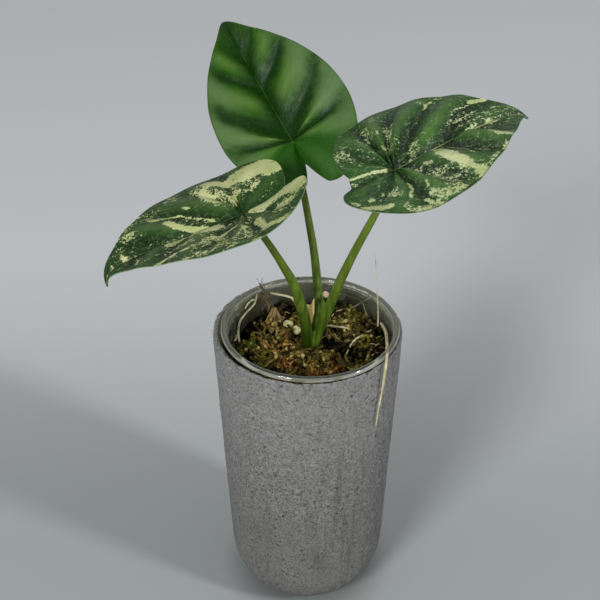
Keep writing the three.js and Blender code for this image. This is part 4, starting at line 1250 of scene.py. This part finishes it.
def mossSwell(x, y):
    # clumps of moss as a sum of waves, mostly between -1 and 1
    draw = np.random.default_rng(moss["seed"])
    level = np.zeros_like(x)
    for _ in range(moss["waveCount"]):
        turn, start = draw.uniform(0, 2 * math.pi, 2)
        length = draw.uniform(*moss["waves"])
        level += np.cos(2 * math.pi / length * (x * math.cos(turn) + y * math.sin(turn)) + start)
    return level / 3.2


def mossAxis(draw):
    # the curled middle line of a strand and its direction
    count = moss["curlSteps"]
    length = moss["strandLength"] * draw.uniform(*moss["lengths"])
    curl = draw.uniform(*moss["curls"]) * draw.choice([-1, 1])
    lift = draw.uniform(*moss["lifts"])
    bends = np.linspace(0, curl, count)
    tilts = lift * (1 - np.linspace(0, 1.8, count))
    steps = np.stack([np.cos(bends) * np.cos(tilts), np.sin(bends) * np.cos(tilts), np.sin(tilts)], axis=1)
    axis = np.cumsum(steps, axis=0) * length / count
    return axis - axis.mean(axis=0), steps


def besideAxis(ahead):
    aside = np.cross(ahead, (0.2, 0.1, 1.0))
    return aside / np.linalg.norm(aside)


def leafyStrand(draw):
    # cupped leaflets wind around the strand and overlap
    axis, steps = mossAxis(draw)
    count = moss["leafletsPerStrand"]
    last = len(axis) - 1
    points, faces = [], []
    for i, share in enumerate(middles(count)):
        at = np.array([np.interp(share * last, np.arange(last + 1), axis[:, k]) for k in range(3)])
        ahead = steps[int(share * last)]
        aside = besideAxis(ahead)
        around = i * moss["leafletTurn"] + draw.uniform(-0.4, 0.4)
        outward = aside * math.cos(around) + np.cross(ahead, aside) * math.sin(around)
        across = np.cross(ahead, outward)
        size = moss["leaflet"] * draw.uniform(0.7, 1.15) * (1 - 0.4 * share)
        middle = at + ahead * size * 0.35 + outward * size * draw.uniform(0.4, 0.55)
        tip = at + ahead * size * draw.uniform(0.7, 1.0) + outward * size * draw.uniform(0.15, 0.5)
        base = len(points)
        points += [at, middle + (across * 0.34 - outward * 0.14) * size, tip,
                   middle - (across * 0.34 + outward * 0.14) * size, middle]
        faces += [(base + k, base + (k + 1) % 4, base + 4) for k in range(4)]
    return meshOf("leafyStrand", points, faces, {"along": [0, 0.7, 1, 0.7, 0.5] * count})


def knobbyStrand(draw):
    # a closed worm of knots that swell and draw in
    axis, steps = mossAxis(draw)
    rows = moss["knots"]
    points, along = [axis[0]], [0.3]
    for i in range(1, rows + 1):
        knot = i % 2
        place = round(i * (len(axis) - 1) / (rows + 1))
        aside = besideAxis(steps[place])
        across = np.cross(steps[place], aside)
        radius = moss["knot"] * (1 if knot else moss["slimKnot"]) * draw.uniform(0.7, 1.2) * (1 - 0.06 * i)
        for k in range(4):
            around = (k + 0.5 * i) * math.pi / 2
            points.append(axis[place] + radius * (aside * math.cos(around) + across * math.sin(around)))
        along += [1 if knot else 0.35] * 4
    faces = [tuple(corner + 1 for corner in quad) for quad in ringQuads(rows, 4)]
    last = len(points)
    for k in range(4):
        after = (k + 1) % 4
        faces += [(0, 1 + after, 1 + k), (last - 4 + k, last - 4 + after, last)]
    return meshOf("knobbyStrand", points + [axis[-1]], faces, {"along": along + [0.4]})


def mossTree():
    tree, given = newTree("mossOverBed", ["Density", "Smallest", "Largest", "Tilt"],
                          {"Strands": "Collection", "Seed": "Int"})

    def randomValue(inputs, output, kind):
        return addNode(tree, "FunctionNodeRandomValue", inputs, output, data_type=kind)

    cover = addNode(tree, "GeometryNodeInputNamedAttribute", {"Name": "cover"}, data_type="FLOAT")
    points = addNode(tree, "GeometryNodeDistributePointsOnFaces", {
        "Mesh": given["Geometry"], "Density": times(given["Density"], cover), "Seed": given["Seed"]})
    strand = addNode(tree, "GeometryNodeCollectionInfo", {
        "Collection": given["Strands"], "Separate Children": True, "Reset Children": True})
    down = times(given["Tilt"], -1.0)
    least = addNode(tree, "ShaderNodeCombineXYZ", {0: down, 1: down, 2: 0.0})
    most = addNode(tree, "ShaderNodeCombineXYZ", {0: given["Tilt"], 1: given["Tilt"], 2: 2 * math.pi})
    turn = randomValue({0: least, 1: most, "Seed": given["Seed"]}, 0, "FLOAT_VECTOR")
    size = randomValue({2: given["Smallest"], 3: given["Largest"], "Seed": 3}, 1, "FLOAT")
    shade = randomValue({2: 0.0, 3: 1.0, "Seed": 9}, 1, "FLOAT")
    placed = addNode(tree, "GeometryNodeInstanceOnPoints", {
        "Points": points, "Instance": strand, "Pick Instance": True, "Rotation": turn, "Scale": size})
    stored = {"Geometry": placed, "Name": "tint", "Value": shade}
    tinted = addNode(tree, "GeometryNodeStoreNamedAttribute", stored, data_type="FLOAT", domain="INSTANCE")
    return endTree(tinted, given["Material"])


def mossSurface():
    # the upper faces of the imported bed, with how densely each place is covered
    source = bmesh.new()
    source.from_mesh(frame["nodes"]["moss_bed"].data)
    bmesh.ops.remove_doubles(source, verts=source.verts, dist=moss["doubles"])
    lower = [face for face in source.faces
             if face.normal.z < moss["upperFaces"] or face.calc_center_median().z < moss["bedFoot"]]
    bmesh.ops.delete(source, geom=lower, context="FACES")
    bmesh.ops.triangulate(source, faces=source.faces)
    bmesh.ops.subdivide_edges(source, edges=source.edges, cuts=moss["cuts"], use_grid_fill=True)
    mesh = bpy.data.meshes.new("mossSurface")
    source.to_mesh(mesh)
    source.free()
    places = placesOf(mesh)

    def awayFrom(x, y, radius):
        return np.hypot(places[:, 0] - x * mm, places[:, 1] - y * mm) / (radius * mm)

    swell = mossSwell(places[:, 0], places[:, 1])
    cover = moss["sparse"] * np.clip((swell + 0.5) / 0.7, 0, 1)
    rise = np.zeros_like(cover)
    for x, y, radius, height, _ in moss["clumps"]:
        away = awayFrom(x, y, radius)
        rise = np.maximum(rise, height * mm * np.exp(-away ** 2))
        cover = np.maximum(cover, np.exp(-away ** 4) * np.clip((swell + 1.1) / 1.1, 0, 1))
    for hole in moss["holes"]:
        cover *= 1 - np.exp(-awayFrom(*hole) ** 4)
    places[:, 2] += np.clip(swell, -1, 1) * moss["clump"] + rise
    movePoints(mesh, places)
    storeOn(mesh, "cover", cover)
    return mesh


def keepInCup(mesh):
    # strands that would pass through the cup's wall are laid against it
    places = placesOf(mesh)
    slope = (cup["lipRadius"] - 2 * cup["bead"] - cup["baseRadius"]) / (cup["top"] - cup["foot"])
    limit = cup["baseRadius"] + slope * (places[:, 2] - cup["foot"]) - cup["wall"] - moss["wallClearance"]
    offset = places[:, :2] - np.array(cup["centre"])
    pull = np.minimum(1, limit / np.maximum(np.linalg.norm(offset, axis=1), 1e-6))
    places[:, :2] = np.array(cup["centre"]) + offset * pull[:, None]
    movePoints(mesh, places)


strandKinds = bpy.data.collections.new("mossStrands")
for seed in range(moss["strands"]):
    draw = np.random.default_rng(seed)
    strand = leafyStrand(draw) if seed % 3 == 0 else knobbyStrand(draw)
    strandKinds.objects.link(bpy.data.objects.new("mossStrand", strand))
piece = grownPiece("mossStrands", mossSurface(), mossTree(), {
    "Strands": strandKinds, "Density": moss["density"], "Seed": moss["seed"], "Material": mossMaterial(),
    **moss["scatter"]})
for strand in list(strandKinds.objects):
    bpy.data.objects.remove(strand)
bpy.data.collections.remove(strandKinds)
keepInCup(piece.data)
settle(piece, "moss")
repaint("moss_bed", mossGround())
print("moss", len(piece.data.polygons))


# floor, lights and camera
# the floor's tones; the foot tone is a painted contact shadow around the pot
stage = {"near": tone(154, 158, 157), "far": tone(193, 195, 196), "foot": tone(92, 96, 94), "half": 4.0,
         "fade": (0.0, 280 * mm), "contactShadowReach": (20 * mm, 42 * mm)}


def floorMaterial():
    # darker towards the front, a painted shade where the lamps fall off, and a painted contact shadow under
    # the pot
    material, tree, shader = newMaterial("paleFloor")
    place = objectPlace(tree)
    body = layered(stage["near"], [
        (partOf(place, "Y"), *stage["fade"], stage["far"]),
        (distance(place), *stage["contactShadowReach"], 0.7, 0, stage["foot"]),
    ])
    plugIn(shader, {"Base Color": body, "Roughness": 0.8, "Specular IOR Level": 0.1})
    return material


corners = [(x * stage["half"], y * stage["half"], 0) for x, y in ((-1, -1), (1, -1), (1, 1), (-1, 1))]
floor = linkPiece("floor", meshOf("floor", corners, [range(4)]), floorMaterial())

lights = [
    {"name": "keyRight", "azimuth": -30, "height": 32, "distance": 2.3, "size": 0.3, "power": 25.5},
    {"name": "keyLeft", "azimuth": -121, "height": 32, "distance": 2.3, "size": 0.66, "power": 37.5},
]
for lamp in lights:
    data = bpy.data.lights.new(lamp["name"], "AREA")
    data.shape = "DISK"
    data.size = lamp["size"]
    data.energy = lamp["power"]
    light = linkPiece(lamp["name"], data)
    away = directionOf(math.radians(lamp["azimuth"]), math.radians(lamp["height"]))
    light.location = Vector((0, 0, 0.1)) + away * lamp["distance"]
    light.rotation_euler = away.to_track_quat("Z", "Y").to_euler()
scene.world = bpy.data.worlds.new("softRoom")
scene.world.use_nodes = True
plugIn(scene.world.node_tree.nodes["Background"], {"Color": tone(200, 202, 206), "Strength": 0.68})
scene.view_settings.view_transform = "Standard"

view = {"place": (-3.05, -408.6, 431.15), "pitchDown": 34.884, "focal": 1262.16, "frame": 600, "sensor": 36}
camera = linkPiece("camera", bpy.data.cameras.new("camera"))
camera.data.sensor_width = view["sensor"]
camera.data.lens = view["focal"] / view["frame"] * view["sensor"]
camera.data.clip_start = 10 * mm
camera.location = Vector(view["place"]) * mm
camera.rotation_euler = (math.radians(90 - view["pitchDown"]), 0, 0)
scene.camera = camera
